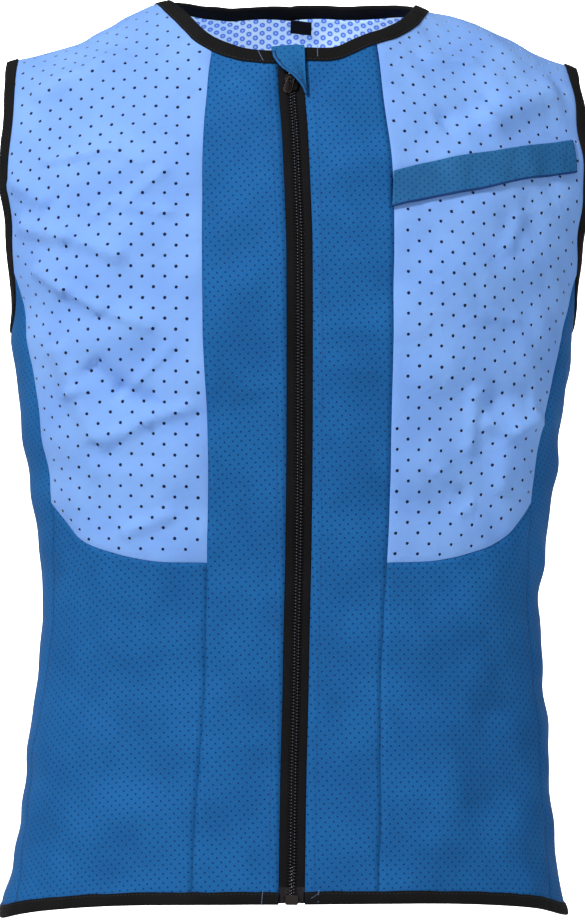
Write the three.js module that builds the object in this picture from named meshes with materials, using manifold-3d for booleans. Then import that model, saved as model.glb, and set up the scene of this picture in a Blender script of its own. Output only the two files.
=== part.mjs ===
// A zip-front cooling vest as it is worn, in millimetres, +Z up, front towards -Y.
// The origin lies midway between the shoulders, at the height of the two neck corners.

import * as THREE from 'three';
import { mergeVertices } from 'three/addons/utils/BufferGeometryUtils.js';
import Module from 'manifold-3d';

const wasm = await Module();
wasm.setup();

// Body sizes
const bodyLength = 682;        // neck corner level down to the hem at the zip
const chestHalf = 217.5;       // half width at the bottom of the armholes
const chestFront = 127;        // depth of the front there
const chestBack = 118;         // depth of the back there
const sideDip = 24;            // the hem hangs this much lower at the sides
const neckHalf = 96;           // half width of the neck opening
const shoulderHalf = 98;       // half width at which the shoulder line has its own height
const shoulderSlope = 21.2;    // fall of the shoulder line, degrees
const shoulderCrown = 30;      // rounding of the shoulder line over the middle
const armFlare = 25;           // how far the sheets stand out beyond the chest at the armholes
const shoulderRound = 2.1;     // squareness of the body seen from the side, 2 is an ellipse

// Cloth sizes
const clothWall = 1.6;         // perforated panels
const meshWall = 1.2;          // mesh panels, strip and zip guard
const liningWall = 0.8;
const labelWall = 0.6;
const bindingWall = 0.8;
const bindingWidth = 8.6;      // cover of the binding on the cloth
const seamGap = 0.36;          // clearance between neighbouring pieces
const foldGap = 0.3;           // clearance between a piece and the cloth that it covers

// Zip sizes
const tapeHalf = 9.8;          // half width of the tape between the panels
const tapeWall = 1.0;
const tapeRows = 22;
const chainHalf = 3.9;
const chainCrest = 2.5;        // half width of the flat crest of the chain
const chainThick = 2.4;
const postSide = 1.6;          // the tapes keep this far from the middle inside the slider
const tapeDrop = 2;            // the tapes end this far below the neck edge
const boxHalf = 4.7;
const boxLength = 7.2;
const boxThick = 3.6;
const boxOverhang = 1.2;       // the box reaches this far below the hem
const boxRound = 1.1;

// Slider and puller sizes
const sliderDrop = 28;         // neck edge to the middle of the slider, along the zip
const sliderLength = 13.6;
const sliderHalfTop = 5.2;
const sliderHalfFoot = 4.1;
const sliderPlate = 1.0;
const sliderBore = 3.0;        // room between the two plates
const flangeWall = 0.9;
const flangeDrop = 0.5;
const postWidth = 2.2;
const postFrom = 2.2;          // from the middle of the slider towards the neck
const postTo = 6.2;
const bridgeFrom = 1.1;
const bridgeTo = 6.7;
const bridgeWidth = 1.6;
const bridgeBar = 0.8;
const bridgeRoom = 1.8;        // clear height under the bridge
const pinRise = 1.2;           // middle of the puller's pin above the lower leg of the bridge
const pullerLength = 13;
const pullerHalfPin = 2.6;
const pullerHalfEnd = 3.3;
const pullerWall = 1.2;
const pullerEye = 3.4;         // far end of the eye from the pin
const pullerEyeHalf = 1.8;
const pullerLean = -18;        // the puller hangs this much to one side, degrees
const join = 0.1;              // parts of one solid run into each other by this much

// Trim sizes
const stripStand = 0.75;       // room under the wavy chest strip
const stripWave = 0.7;
const stripWaves = 5;
const stripCells = 16;
const labelWidth = 17;
const labelDrop = 12;
const labelShift = 9.3;        // label to the side of the middle of the back
const labelRoom = 1.9;         // room between the label and the lining

// Grid of the cloth, in cells
const grid = {
  centre: 2, neck: 4, shoulder: 6, side: 8, backNeck: 8, low: 9, flank: 5, arm: 9,
};
const liningRows = 6;

// Levels of the trunk. Columns: rise as a share of bodyLength from the hem, half width as a
// share of chestHalf, front depth as a share of chestFront, back depth as a share of
// chestBack, squareness of the outline, lean to the side as a share of chestHalf.
const trunkRows = [
  { rise: 0.00, half: 1.012, front: 0.976, back: 0.966, square: 2.40, lean: -0.027 },
  { rise: 0.07, half: 0.971, front: 0.937, back: 0.898, square: 2.45, lean: -0.023 },
  { rise: 0.14, half: 0.930, front: 0.906, back: 0.839, square: 2.50, lean: -0.019 },
  { rise: 0.22, half: 0.902, front: 0.882, back: 0.788, square: 2.55, lean: -0.012 },
  { rise: 0.29, half: 0.895, front: 0.882, back: 0.763, square: 2.60, lean: -0.008 },
  { rise: 0.37, half: 0.901, front: 0.898, back: 0.797, square: 2.65, lean: -0.003 },
  { rise: 0.48, half: 0.942, front: 0.945, back: 0.890, square: 2.70, lean: 0.000 },
  { rise: 0.62, half: 1.000, front: 1.000, back: 1.000, square: 2.70, lean: 0.000 },
];

// A place on the vest is a turn, in degrees round the trunk from the middle of the front
// towards +X, and a climb: 0 at the hem, pitClimb under the arms, 1 on the shoulder line.
// A climb above 1 carries on over the shoulder and down the back.
const pitClimb = 0.532;
const pitRise = trunkRows[trunkRows.length - 1].rise;
const flareTurn = 40;          // angle over which the armhole flare builds up

// Armhole. Its edge is a squared oval in turn and climb.
const armBottom = 0.54;
const armReach = 36;           // degrees from the side to the edge at the shoulder
const armSquare = 2.9;
const armSeamClimb = 0.6;      // where the side seams run into the armhole
const shoulderSeam = 1.03;     // climb of the shoulder seam, just behind the shoulder line

// Side seams. Columns: climb, turn on the wearer's right, turn on the wearer's left.
const sideSeamRows = [
  { climb: 0.000, right: 64.5, left: 62.0 },
  { climb: 0.050, right: 69.5, left: 64.0 },
  { climb: 0.130, right: 71.5, left: 64.5 },
  { climb: 0.200, right: 67.6, left: 63.4 },
  { climb: 0.310, right: 63.5, left: 59.8 },
  { climb: 0.375, right: 58.6, left: 54.8 },
  { climb: 0.430, right: 58.8, left: 53.6 },
  { climb: 0.520, right: 60.9, left: 59.2 },
  { climb: 0.600, right: 65.4, left: 65.4 },
];

// Seams between the centre and chest panels, same columns.
const centreSeamRows = [
  { climb: 0.00, right: 19.1, left: 16.7 },
  { climb: 0.10, right: 19.8, left: 18.2 },
  { climb: 0.19, right: 19.6, left: 18.5 },
  { climb: 0.32, right: 19.5, left: 19.2 },
  { climb: 0.43, right: 18.5, left: 18.6 },
  { climb: 0.56, right: 18.6, left: 18.1 },
  { climb: 0.66, right: 17.4, left: 17.0 },
  { climb: 0.74, right: 16.2, left: 15.1 },
  { climb: 0.80, right: 15.0, left: 14.3 },
];

// Lower edge of the chest panels. Columns: share of the way from the centre seam to the
// side seam, climb.
const chestHemRows = [
  { share: 0.00, climb: 0.318 },
  { share: 0.25, climb: 0.320 },
  { share: 0.50, climb: 0.329 },
  { share: 0.70, climb: 0.341 },
  { share: 0.85, climb: 0.358 },
  { share: 1.00, climb: 0.375 },
];

// Neck edge. Columns: angle round the neck from the front, climb on the right and left.
const neckRows = [
  { around: 0, right: 0.779, left: 0.780 },
  { around: 15, right: 0.781, left: 0.786 },
  { around: 30, right: 0.797, left: 0.812 },
  { around: 45, right: 0.826, left: 0.838 },
  { around: 60, right: 0.879, left: 0.874 },
  { around: 75, right: 0.937, left: 0.932 },
  { around: 90, right: 0.998, left: 0.996 },
  { around: 110, right: 1.022, left: 1.022 },
  { around: 135, right: 1.072, left: 1.072 },
  { around: 155, right: 1.106, left: 1.106 },
  { around: 180, right: 1.126, left: 1.126 },
];

// Soft folds of the front. Columns: both ends as shares, across of chestHalf and down of
// bodyLength, half breadth as a share of chestHalf, height in mm, below zero for a hollow.
const foldRows = [
  { name: 'right shoulder drape', across0: -0.84, down0: 0.09, across1: -0.58, down1: 0.064,
    breadth: 0.055, height: 2.4 },
  { name: 'right chest wave', across0: -0.84, down0: 0.185, across1: -0.45, down1: 0.18,
    breadth: 0.05, height: 1.8 },
  { name: 'right flank fold', across0: -0.82, down0: 0.3, across1: -0.55, down1: 0.36,
    breadth: 0.045, height: 2.4 },
  { name: 'right flank crease', across0: -0.77, down0: 0.47, across1: -0.74, down1: 0.62,
    breadth: 0.045, height: 2.0 },
  { name: 'left flank crease', across0: 0.77, down0: 0.44, across1: 0.76, down1: 0.62,
    breadth: 0.04, height: 2.6 },
  { name: 'left shoulder hollow', across0: 0.52, down0: 0.03, across1: 0.62, down1: 0.1,
    breadth: 0.06, height: -1.8 },
  { name: 'right hem pucker', across0: -0.2, down0: 0.9, across1: -0.17, down1: 0.985,
    breadth: 0.03, height: 1.4 },
  { name: 'right lower ripple', across0: -0.62, down0: 0.72, across1: -0.5, down1: 0.93,
    breadth: 0.05, height: 1.6 },
  { name: 'left lower ripple', across0: 0.6, down0: 0.74, across1: 0.52, down1: 0.94,
    breadth: 0.05, height: 1.6 },
];

// Chest strip on the wearer's left. Columns: turn, climb of the lower and upper edge.
const stripRows = [
  { turn: 18.0, low: 0.640, high: 0.673 },
  { turn: 27.0, low: 0.657, high: 0.695 },
  { turn: 34.0, low: 0.671, high: 0.711 },
  { turn: 41.5, low: 0.690, high: 0.731 },
  { turn: 52.4, low: 0.710, high: 0.755 },
];

// Middle of the zip, which leans to the wearer's right near the neck
const zipRows = [
  { climb: 0.00, across: 0 },
  { climb: 0.60, across: 0 },
  { climb: 0.64, across: -1.0 },
  { climb: 0.70, across: -3.0 },
  { climb: 0.72, across: -4.1 },
  { climb: 0.74, across: -4.8 },
  { climb: 0.80, across: -5.0 },
];

// Zip guard over the top of the zip. Columns: drop below the neck edge, the two edges
// across, and how far the cloth stands off the body at each of them.
const guardRows = [
  { drop: 0.5, from: -19.5, to: 5.2, rise: 3.8, foot: 3.8 },
  { drop: 4.5, from: -19.8, to: 5.3, rise: 3.8, foot: 3.6 },
  { drop: 10.0, from: -17.4, to: 5.4, rise: 4.4, foot: 3.3 },
  { drop: 16.0, from: -13.2, to: 5.4, rise: 5.9, foot: 3.4 },
  { drop: 20.5, from: -9.2, to: 5.5, rise: 6.6, foot: 3.6 },
  { drop: 25.0, from: -4.6, to: 5.6, rise: 6.6, foot: 3.8 },
  { drop: 32.0, from: 1.8, to: 5.9, rise: 4.8, foot: 3.8 },
  { drop: 38.5, from: 5.4, to: 6.4, rise: 2.4, foot: 2.4 },
];
const guardCells = 6;
const guardInside = 13;        // length of the guard inside the neck
const guardLift = 4.4;         // height of its fold above the neck edge

const radians = THREE.MathUtils.degToRad;
const sides = [
  { name: 'right', sign: -1 },
  { name: 'left', sign: 1 },
];

// Curve through the rows of a table, smooth and without overshoot of its slopes
function tableValue(rows, key, at, column) {
  let i = 0;
  while (i < rows.length - 2 && at > rows[i + 1][key]) i += 1;
  const slope = (a, b) => (rows[b][column] - rows[a][column]) / (rows[b][key] - rows[a][key]);
  const slopeAt = (k) => slope(Math.max(k - 1, 0), Math.min(k + 1, rows.length - 1));
  const span = rows[i + 1][key] - rows[i][key];
  const s = (at - rows[i][key]) / span;
  return (2 * s ** 3 - 3 * s ** 2 + 1) * rows[i][column]
    + (s ** 3 - 2 * s ** 2 + s) * span * slopeAt(i)
    + (3 * s ** 2 - 2 * s ** 3) * rows[i + 1][column]
    + (s ** 3 - s ** 2) * span * slopeAt(i + 1);
}

function smoothStep(x) {
  const s = THREE.MathUtils.clamp(x, 0, 1);
  return s * s * (3 - 2 * s);
}

// Reach of a squared oval of unit size in the direction given by its cosine and sine
function ovalReach(c, s, square) {
  return (Math.abs(c) ** square + Math.abs(s) ** square) ** (-1 / square);
}

// Height of the shoulder line at a place across
function shoulderLine(x) {
  const fall = Math.tan(radians(shoulderSlope));
  return fall * (Math.hypot(shoulderHalf, shoulderCrown) - Math.hypot(x, shoulderCrown));
}

// Height of the folds over the plain surface
function foldHeight(x, z) {
  let sum = 0;
  for (const f of foldRows) {
    const ax = f.across0 * chestHalf;
    const az = -f.down0 * bodyLength;
    const bx = f.across1 * chestHalf - ax;
    const bz = -f.down1 * bodyLength - az;
    const along = ((x - ax) * bx + (z - az) * bz) / (bx * bx + bz * bz);
    const s = THREE.MathUtils.clamp(along, 0, 1);
    const off = Math.hypot(x - ax - s * bx, z - az - s * bz);
    sum += f.height * Math.exp(-0.5 * (off / (f.breadth * chestHalf)) ** 2);
  }
  return sum;
}

// Half width of the body at a climb, where the sheets would close at the side
function halfWidthAt(climb) {
  if (climb <= pitClimb) {
    return chestHalf * tableValue(trunkRows, 'rise', pitRise * climb / pitClimb, 'half');
  }
  const lift = 90 * (climb - pitClimb) / (1 - pitClimb);
  return chestHalf + armFlare * smoothStep(lift / flareTurn);
}

// The middle surface of the cloth
function bodyPoint(turn, climb) {
  if (climb > 1) return bodyPoint(180 - turn, 2 - climb);
  const c = Math.cos(radians(turn));
  const s = Math.sin(radians(turn));
  const low = Math.min(climb / pitClimb, 1);
  const row = (column) => tableValue(trunkRows, 'rise', pitRise * low, column);
  const reach = ovalReach(c, s, row('square'));
  const depth = c > 0 ? chestFront * row('front') : chestBack * row('back');
  let x = halfWidthAt(climb) * s * reach;
  let y = -depth * c * reach;
  let z = -bodyLength * (1 - pitRise * low) - sideDip * s ** 4 * (1 - low) ** 2;
  if (climb > pitClimb) {
    const lift = radians(90 * (climb - pitClimb) / (1 - pitClimb));
    const round = ovalReach(Math.cos(lift), Math.sin(lift), shoulderRound);
    y *= Math.cos(lift) * round;
    z += (shoulderLine(x) - z) * Math.sin(lift) * round;
  }
  x += chestHalf * row('lean');
  const fold = c > 0 ? foldHeight(x, z) * smoothStep(c * 4) : 0;
  const out = Math.hypot(s, c) * reach;
  return new THREE.Vector3(x + fold * s * reach / out, y - fold * c * reach / out, z);
}

// Outward direction of the cloth
function bodyNormal(turn, climb) {
  const step = { turn: 0.2, climb: 0.001 };
  const round = bodyPoint(turn + step.turn, climb).sub(bodyPoint(turn - step.turn, climb));
  const rise = bodyPoint(turn, climb + step.climb).sub(bodyPoint(turn, climb - step.climb));
  return round.cross(rise).normalize();
}

// A spot is a place on the cloth: turn, climb, the point there and the outward direction
function spot(turn, climb) {
  return { turn, climb, point: bodyPoint(turn, climb), normal: bodyNormal(turn, climb) };
}

// Turn at which the body has a given distance across
function turnAcross(x, climb) {
  const upTo = climb > 1 ? 2 - climb : climb;
  const low = Math.min(upTo / pitClimb, 1);
  const square = tableValue(trunkRows, 'rise', pitRise * low, 'square');
  const share = THREE.MathUtils.clamp(Math.abs(x) / halfWidthAt(upTo), 0, 1);
  const turn = Math.atan2(share, (1 - share ** square) ** (1 / square));
  return Math.sign(x) * THREE.MathUtils.radToDeg(turn);
}

// Edge of the armhole: around is 0 at the bottom, 90 at the shoulder line, 180 at the
// bottom again, seen from behind
function armEdge(side, around) {
  const c = Math.cos(radians(around));
  const s = Math.sin(radians(around));
  const reach = ovalReach(c, s, armSquare);
  const turn = 90 - armReach * s * reach;
  const climb = 1 - c * reach * (1 - armBottom);
  return [side.sign * turn, climb];
}

// Angle round the armhole at which its edge has a given climb
function armAround(climb) {
  let from = 0;
  let to = 180;
  for (let i = 0; i < 40; i += 1) {
    const middle = (from + to) / 2;
    if (armEdge(sides[1], middle)[1] < climb) from = middle;
    else to = middle;
  }
  return (from + to) / 2;
}

function neckEdge(side, around) {
  const climb = tableValue(neckRows, 'around', around, side.name);
  const x = neckHalf * Math.sin(radians(around)) * side.sign;
  return [turnAcross(x, climb), climb];
}

// Angle round the neck at which its edge meets a seam, given by a function of climb that
// returns the seam's turn, or by the climb of the shoulder seam
function neckAround(side, before) {
  let from = 0;
  let to = 180;
  for (let i = 0; i < 40; i += 1) {
    const middle = (from + to) / 2;
    if (before(neckEdge(side, middle))) from = middle;
    else to = middle;
  }
  return (from + to) / 2;
}

function sideSeam(side, climb) {
  const wanted = armEdge(side, armAround(armSeamClimb))[0] * side.sign;
  const atTop = tableValue(sideSeamRows, 'climb', armSeamClimb, side.name);
  const blend = smoothStep((climb - pitClimb) / (armSeamClimb - pitClimb));
  const turn = tableValue(sideSeamRows, 'climb', climb, side.name) + (wanted - atTop) * blend;
  return [side.sign * turn, climb];
}

function centreSeam(side, climb) {
  return [side.sign * tableValue(centreSeamRows, 'climb', climb, side.name), climb];
}

// Place at a distance to the side of the middle of the zip
function besideZip(offset, climb) {
  const middle = tableValue(zipRows, 'climb', climb, 'across');
  return [turnAcross(middle + offset, climb), climb];
}

function tapeSeam(side, climb) {
  return besideZip(side.sign * tapeHalf, climb);
}

function chestHem(side, share) {
  const climb = tableValue(chestHemRows, 'share', share, 'climb');
  const inner = centreSeam(side, climb)[0];
  const outer = sideSeam(side, climb)[0];
  return [THREE.MathUtils.lerp(inner, outer, share), climb];
}

// A stretch of a curve on the cloth, given by its length, with the places along it
function stretch(curve, from, to) {
  const steps = 60;
  const values = Array.from({ length: steps + 1 }, (_, i) => from + (to - from) * i / steps);
  const points = values.map((value) => bodyPoint(...curve(value)));
  const lengths = [0];
  for (let i = 1; i <= steps; i += 1) {
    lengths.push(lengths[i - 1] + points[i].distanceTo(points[i - 1]));
  }
  const valueAt = (distance) => {
    let i = 1;
    while (i < steps && lengths[i] < distance) i += 1;
    const share = (distance - lengths[i - 1]) / (lengths[i] - lengths[i - 1]);
    return THREE.MathUtils.lerp(values[i - 1], values[i], share);
  };
  return { length: lengths[steps], valueAt };
}

// Places along a curve at even distances, in a number of cells
function evenly(curve, from, to, cells) {
  const { length, valueAt } = stretch(curve, from, to);
  return range(cells, (s, i) => {
    if (i === 0) return curve(from);
    return i === cells ? curve(to) : curve(valueAt(s * length));
  });
}

// Place at a distance square to an edge, on the cloth
function insetFrom(edges, i, distance, towards) {
  const before = edges[Math.max(i - 1, 0)];
  const after = edges[Math.min(i + 1, edges.length - 1)];
  const here = spot(...edges[i]);
  const along = bodyPoint(...after).sub(bodyPoint(...before)).normalize();
  const inward = here.normal.clone().cross(along).normalize();
  if (inward.dot(towards.clone().sub(here.point)) < 0) inward.negate();
  const target = here.point.clone().addScaledVector(inward, distance);
  let [turn, climb] = edges[i];
  for (let pass = 0; pass < 4; pass += 1) {
    const base = bodyPoint(turn, climb);
    const byTurn = bodyPoint(turn + 0.1, climb).sub(base).multiplyScalar(10);
    const byClimb = bodyPoint(turn, climb + 0.001).sub(base).multiplyScalar(1000);
    const miss = target.clone().sub(base);
    const a = byTurn.dot(byTurn);
    const b = byTurn.dot(byClimb);
    const d = byClimb.dot(byClimb);
    const e = byTurn.dot(miss);
    const f = byClimb.dot(miss);
    turn += (e * d - f * b) / (a * d - b * b);
    climb += (a * f - b * e) / (a * d - b * b);
  }
  return [turn, climb];
}

function range(count, make) {
  return Array.from({ length: count + 1 }, (_, i) => make(i / count, i));
}

// Fraction of the way along a run of places, by the distance on the cloth
function runShares(run) {
  const points = run.map((place) => bodyPoint(...place));
  const lengths = [0];
  for (let i = 1; i < points.length; i += 1) {
    lengths.push(lengths[i - 1] + points[i].distanceTo(points[i - 1]));
  }
  return lengths.map((length) => length / lengths[lengths.length - 1]);
}

// Grid of places between four edge runs that share their corners
function fillBetween(bottom, top, first, last) {
  const across = runShares(bottom).map((s, i) => (s + runShares(top)[i]) / 2);
  const up = runShares(first).map((s, j) => (s + runShares(last)[j]) / 2);
  const end = bottom.length - 1;
  const high = first.length - 1;
  return up.map((v, j) => across.map((u, i) => [0, 1].map((k) => {
    if (j === 0) return bottom[i][k];
    if (j === high) return top[i][k];
    if (i === 0) return first[j][k];
    if (i === end) return last[j][k];
    const rails = (1 - v) * bottom[i][k] + v * top[i][k] + (1 - u) * first[j][k] + u * last[j][k];
    const corners = (1 - u) * (1 - v) * bottom[0][k] + u * (1 - v) * bottom[end][k]
      + (1 - u) * v * top[0][k] + u * v * top[end][k];
    return rails - corners;
  })));
}

// A sheet of cloth as a net of four-sided cells, kept as spots and cells between them
class Sheet {
  constructor() {
    this.spots = [];
    this.cells = [];
    this.shifts = [];
  }

  add(places) {
    return places.map((place) => {
      this.spots.push(spot(...place));
      this.shifts.push(new THREE.Vector3());
      return this.spots.length - 1;
    });
  }

  // Cells between two runs of spots of the same length. Each cell is folded along the
  // line from its first to its third spot, and a slanted band along the other line.
  band(lower, upper, slanted = false) {
    for (let i = 0; i < lower.length - 1; i += 1) {
      const cell = [lower[i], lower[i + 1], upper[i + 1], upper[i]];
      if (slanted) cell.push(cell.shift());
      this.cells.push(cell);
    }
  }

  fill(places) {
    const rows = places.map((row) => this.add(row));
    for (let j = 0; j < rows.length - 1; j += 1) this.band(rows[j], rows[j + 1]);
    return rows;
  }

  // Draws a run of spots back from a seam, by half of the seam's clearance or as given
  trim(run, distance = seamGap / 2) {
    const centre = new THREE.Vector3();
    for (const s of this.spots) centre.addScaledVector(s.point, 1 / this.spots.length);
    const inward = run.map((id, i) => {
      const before = this.spots[run[Math.max(i - 1, 0)]].point;
      const after = this.spots[run[Math.min(i + 1, run.length - 1)]].point;
      return this.spots[id].normal.clone().cross(after.clone().sub(before)).normalize();
    });
    const middle = Math.floor(run.length / 2);
    const towards = centre.sub(this.spots[run[middle]].point);
    const sign = inward[middle].dot(towards) < 0 ? -1 : 1;
    run.forEach((id, i) => {
      this.shifts[id].addScaledVector(inward[i], sign * distance);
    });
  }

  solid(wall, stand = 0) {
    const points = this.spots.map((s, i) => s.point.clone().add(this.shifts[i]));
    return thicken(points, this.spots.map((s) => s.normal), this.cells, wall, stand);
  }
}

// Closed solid of a net of cells, with half of the wall on each side of it
function thicken(points, normals, cells, wall, stand) {
  const position = [];
  for (const level of [stand + wall / 2, stand - wall / 2]) {
    points.forEach((p, i) => {
      const q = p.clone().addScaledVector(normals[i], level);
      position.push(q.x, q.y, q.z);
    });
  }
  const count = points.length;
  const [a, b, , d] = cells[0];
  const facing = points[b].clone().sub(points[a]).cross(points[d].clone().sub(points[a]));
  const turned = facing.dot(normals[a]) < 0;
  const faces = cells.map(([i, j, k, l]) => (turned ? [i, l, k, j] : [i, j, k, l]));
  const index = [];
  const borders = new Map();
  for (const cell of faces) {
    const [i, j, k, l] = cell;
    index.push(i, j, k, i, k, l);
    index.push(count + i, count + k, count + j, count + i, count + l, count + k);
    cell.forEach((from, n) => {
      const to = cell[(n + 1) % 4];
      if (borders.has(`${to}_${from}`)) borders.delete(`${to}_${from}`);
      else borders.set(`${from}_${to}`, [from, to]);
    });
  }
  for (const [from, to] of borders.values()) {
    index.push(from, count + from, count + to, from, count + to, to);
  }
  return bufferOf(position, index);
}

function bufferOf(position, index) {
  const geometry = new THREE.BufferGeometry();
  geometry.setAttribute('position', new THREE.Float32BufferAttribute(position, 3));
  geometry.setIndex(index);
  geometry.computeVertexNormals();
  return geometry;
}

// Solid through sections that all have the same number of points, open or closed in a
// ring. Slanted tells which cells are folded along their other line.
function loft(sections, ring, capCells, slanted = () => false) {
  const size = sections[0].length;
  const position = sections.flat().flatMap((p) => [p.x, p.y, p.z]);
  const index = [];
  const last = ring ? sections.length : sections.length - 1;
  for (let s = 0; s < last; s += 1) {
    const here = s * size;
    const next = ((s + 1) % sections.length) * size;
    for (let i = 0; i < size; i += 1) {
      const j = (i + 1) % size;
      const cell = [here + i, here + j, next + j, next + i];
      if (slanted(s, i)) cell.push(cell.shift());
      index.push(cell[0], cell[1], cell[2], cell[0], cell[2], cell[3]);
    }
  }
  if (!ring) {
    const end = (sections.length - 1) * size;
    for (const [a, b, c] of capCells) index.push(a, c, b, end + a, end + b, end + c);
  }
  const geometry = bufferOf(position, index);
  if (volumeOf(geometry) < 0) geometry.setIndex(flipped(index));
  geometry.computeVertexNormals();
  return geometry;
}

function flipped(index) {
  const turned = [];
  for (let i = 0; i < index.length; i += 3) turned.push(index[i], index[i + 2], index[i + 1]);
  return turned;
}

function volumeOf(geometry) {
  const { position } = geometry.attributes;
  const corner = (i) => new THREE.Vector3().fromBufferAttribute(position, geometry.index.getX(i));
  let sum = 0;
  for (let i = 0; i < geometry.index.count; i += 3) {
    sum += corner(i).dot(corner(i + 1).cross(corner(i + 2))) / 6;
  }
  return sum;
}

// Runs along the bound edges. Each has the edge places and the places where the binding's
// cover ends. At their two ends both lie on the seams that run into the edge.
function boundRun(edges, ends, towards) {
  const insets = edges.map((_, i) => insetFrom(edges, i, bindingWidth, towards));
  insets[0] = ends[0];
  if (ends[1]) insets[insets.length - 1] = ends[1];
  return { edges, insets };
}

const chestHemEnd = chestHemRows[chestHemRows.length - 1].climb;
const hemInset = stretch((climb) => [0, climb], 0, 0.1).valueAt(bindingWidth);
const armSeamAround = armAround(armSeamClimb);
const armShoulderAround = armAround(shoulderSeam);

// The same place written with a climb over 1, as it is reached over the shoulder
const over = ([turn, climb], side) => [side.sign * 180 - turn, 2 - climb];
const toBack = ([turn, climb]) => [180 - turn, 2 - climb];
const reversed = (run) => [...run].reverse();

// All runs of one side of the vest
function sideRuns(side) {
  const tape = (climb) => tapeSeam(side, climb);
  const seam = (climb) => centreSeam(side, climb);
  const flank = (climb) => sideSeam(side, climb);
  const behind = ([turn, climb]) => [side.sign * 180 - turn, climb];
  const neck = (around) => neckEdge(side, around);
  const arm = (around) => armEdge(side, around);
  const under = (around) => (around > 0 ? arm(around) : behind(arm(-around)));
  const shoulder = (turn) => [turn, shoulderSeam];

  // Angles round the neck at which the seams run into its edge
  const tapeAt = neckAround(side, ([turn, climb]) => Math.abs(turn) < Math.abs(tape(climb)[0]));
  const seamAt = neckAround(side, ([turn, climb]) => Math.abs(turn) < Math.abs(seam(climb)[0]));
  const shoulderAt = neckAround(side, ([, climb]) => climb < shoulderSeam);

  // Where the covers of the bindings end on those seams
  const inset = (curve, from, to) => stretch(curve, from, to).valueAt(bindingWidth);
  const tapeIn = inset(tape, neck(tapeAt)[1], pitClimb);
  const seamIn = inset(seam, neck(seamAt)[1], pitClimb);
  const flankIn = inset(flank, armSeamClimb, chestHemEnd);
  const shoulderEnds = [neck(shoulderAt)[0], arm(armShoulderAround)[0]];
  const shoulderIn = [inset(shoulder, ...shoulderEnds), inset(shoulder, ...reversed(shoulderEnds))];

  const chestPoint = bodyPoint(side.sign * 38, 0.6);
  const backPoint = bodyPoint(side.sign * 142, 0.6);
  const flankPoint = bodyPoint(side.sign * 90, 0.4);
  const centrePoint = bodyPoint(side.sign * 9, 0.6);
  const back = 180 - armSeamAround;
  return {
    tape, seam, flank, tapeIn, seamIn, flankIn,
    shoulder: evenly(shoulder, ...shoulderIn, grid.shoulder),
    centreNeck: boundRun(evenly(neck, tapeAt, seamAt, grid.centre), [tape(tapeIn), seam(seamIn)],
      centrePoint),
    chestNeck: boundRun(evenly(neck, seamAt, shoulderAt, grid.neck),
      [seam(seamIn), shoulder(shoulderIn[0])], chestPoint),
    backNeck: boundRun(evenly(neck, shoulderAt, 180, grid.backNeck / 2),
      [shoulder(shoulderIn[0])], backPoint),
    frontArm: boundRun(evenly(arm, armSeamAround, armShoulderAround, grid.arm),
      [flank(flankIn), shoulder(shoulderIn[1])], chestPoint),
    backArm: boundRun(evenly(arm, armShoulderAround, back, grid.arm),
      [shoulder(shoulderIn[1]), over(behind(flank(flankIn)), side)], backPoint),
    underArm: boundRun(evenly(under, armSeamAround, -armSeamAround, grid.side),
      [flank(flankIn), behind(flank(flankIn))], flankPoint),
  };
}

const runs = Object.fromEntries(sides.map((side) => [side.name, sideRuns(side)]));

function hemRun(from, to, cells) {
  const at = (climb) => range(cells, (s) =>
    [THREE.MathUtils.lerp(from(climb)[0], to(climb)[0], s), climb]);
  return { edges: at(0), insets: at(hemInset) };
}

// Places up a seam, from the hem's binding to the level of the chest panels' lower edge
const lowRun = (seam, split) => evenly(seam, hemInset, split, grid.low);

function centrePanel(side) {
  const { centreNeck, seam, tape, seamIn, tapeIn } = runs[side.name];
  const hem = hemRun(tape, seam, grid.centre);
  const split = chestHem(side, 0)[1];
  const cells = grid.flank + grid.arm;
  const sheet = new Sheet();
  const rows = sheet.fill(fillBetween(hem.insets, centreNeck.insets,
    [...lowRun(tape, split), ...evenly(tape, split, tapeIn, cells).slice(1)],
    [...lowRun(seam, split), ...evenly(seam, split, seamIn, cells).slice(1)]));
  const hemRow = sheet.add(hem.edges);
  const neckRow = sheet.add(centreNeck.edges);
  sheet.band(hemRow, rows[0], true);
  sheet.band(rows[rows.length - 1], neckRow);
  sheet.trim([hemRow, ...rows, neckRow].map((row) => row[grid.centre]));
  return { sheet, hem };
}

function chestPanel(side) {
  const { chestNeck, frontArm, shoulder, seam, flank, seamIn, flankIn } = runs[side.name];
  const bottom = range(grid.neck + grid.shoulder, (s) => chestHem(side, s));
  const inner = evenly(seam, bottom[0][1], seamIn, grid.flank + grid.arm);
  const outer = [...evenly(flank, chestHemEnd, flankIn, grid.flank),
    ...frontArm.insets.slice(1)];
  const sheet = new Sheet();
  const rows = sheet.fill(fillBetween(bottom, [...chestNeck.insets, ...shoulder.slice(1)],
    inner, outer));
  const topRow = rows[rows.length - 1];
  const sideRow = rows.map((row) => row[row.length - 1]);
  const neckRow = sheet.add(chestNeck.edges);
  const armRow = sheet.add(frontArm.edges);
  sheet.band(topRow.slice(0, grid.neck + 1), neckRow);
  sheet.band(armRow, sideRow.slice(grid.flank), true);
  sheet.trim([...rows.map((row) => row[0]), neckRow[0]]);
  sheet.trim(rows[0]);
  sheet.trim([...sideRow.slice(0, grid.flank + 1), armRow[0]]);
  sheet.trim([neckRow[grid.neck], ...topRow.slice(grid.neck), armRow[grid.arm]]);
  return { sheet, rows };
}

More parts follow.
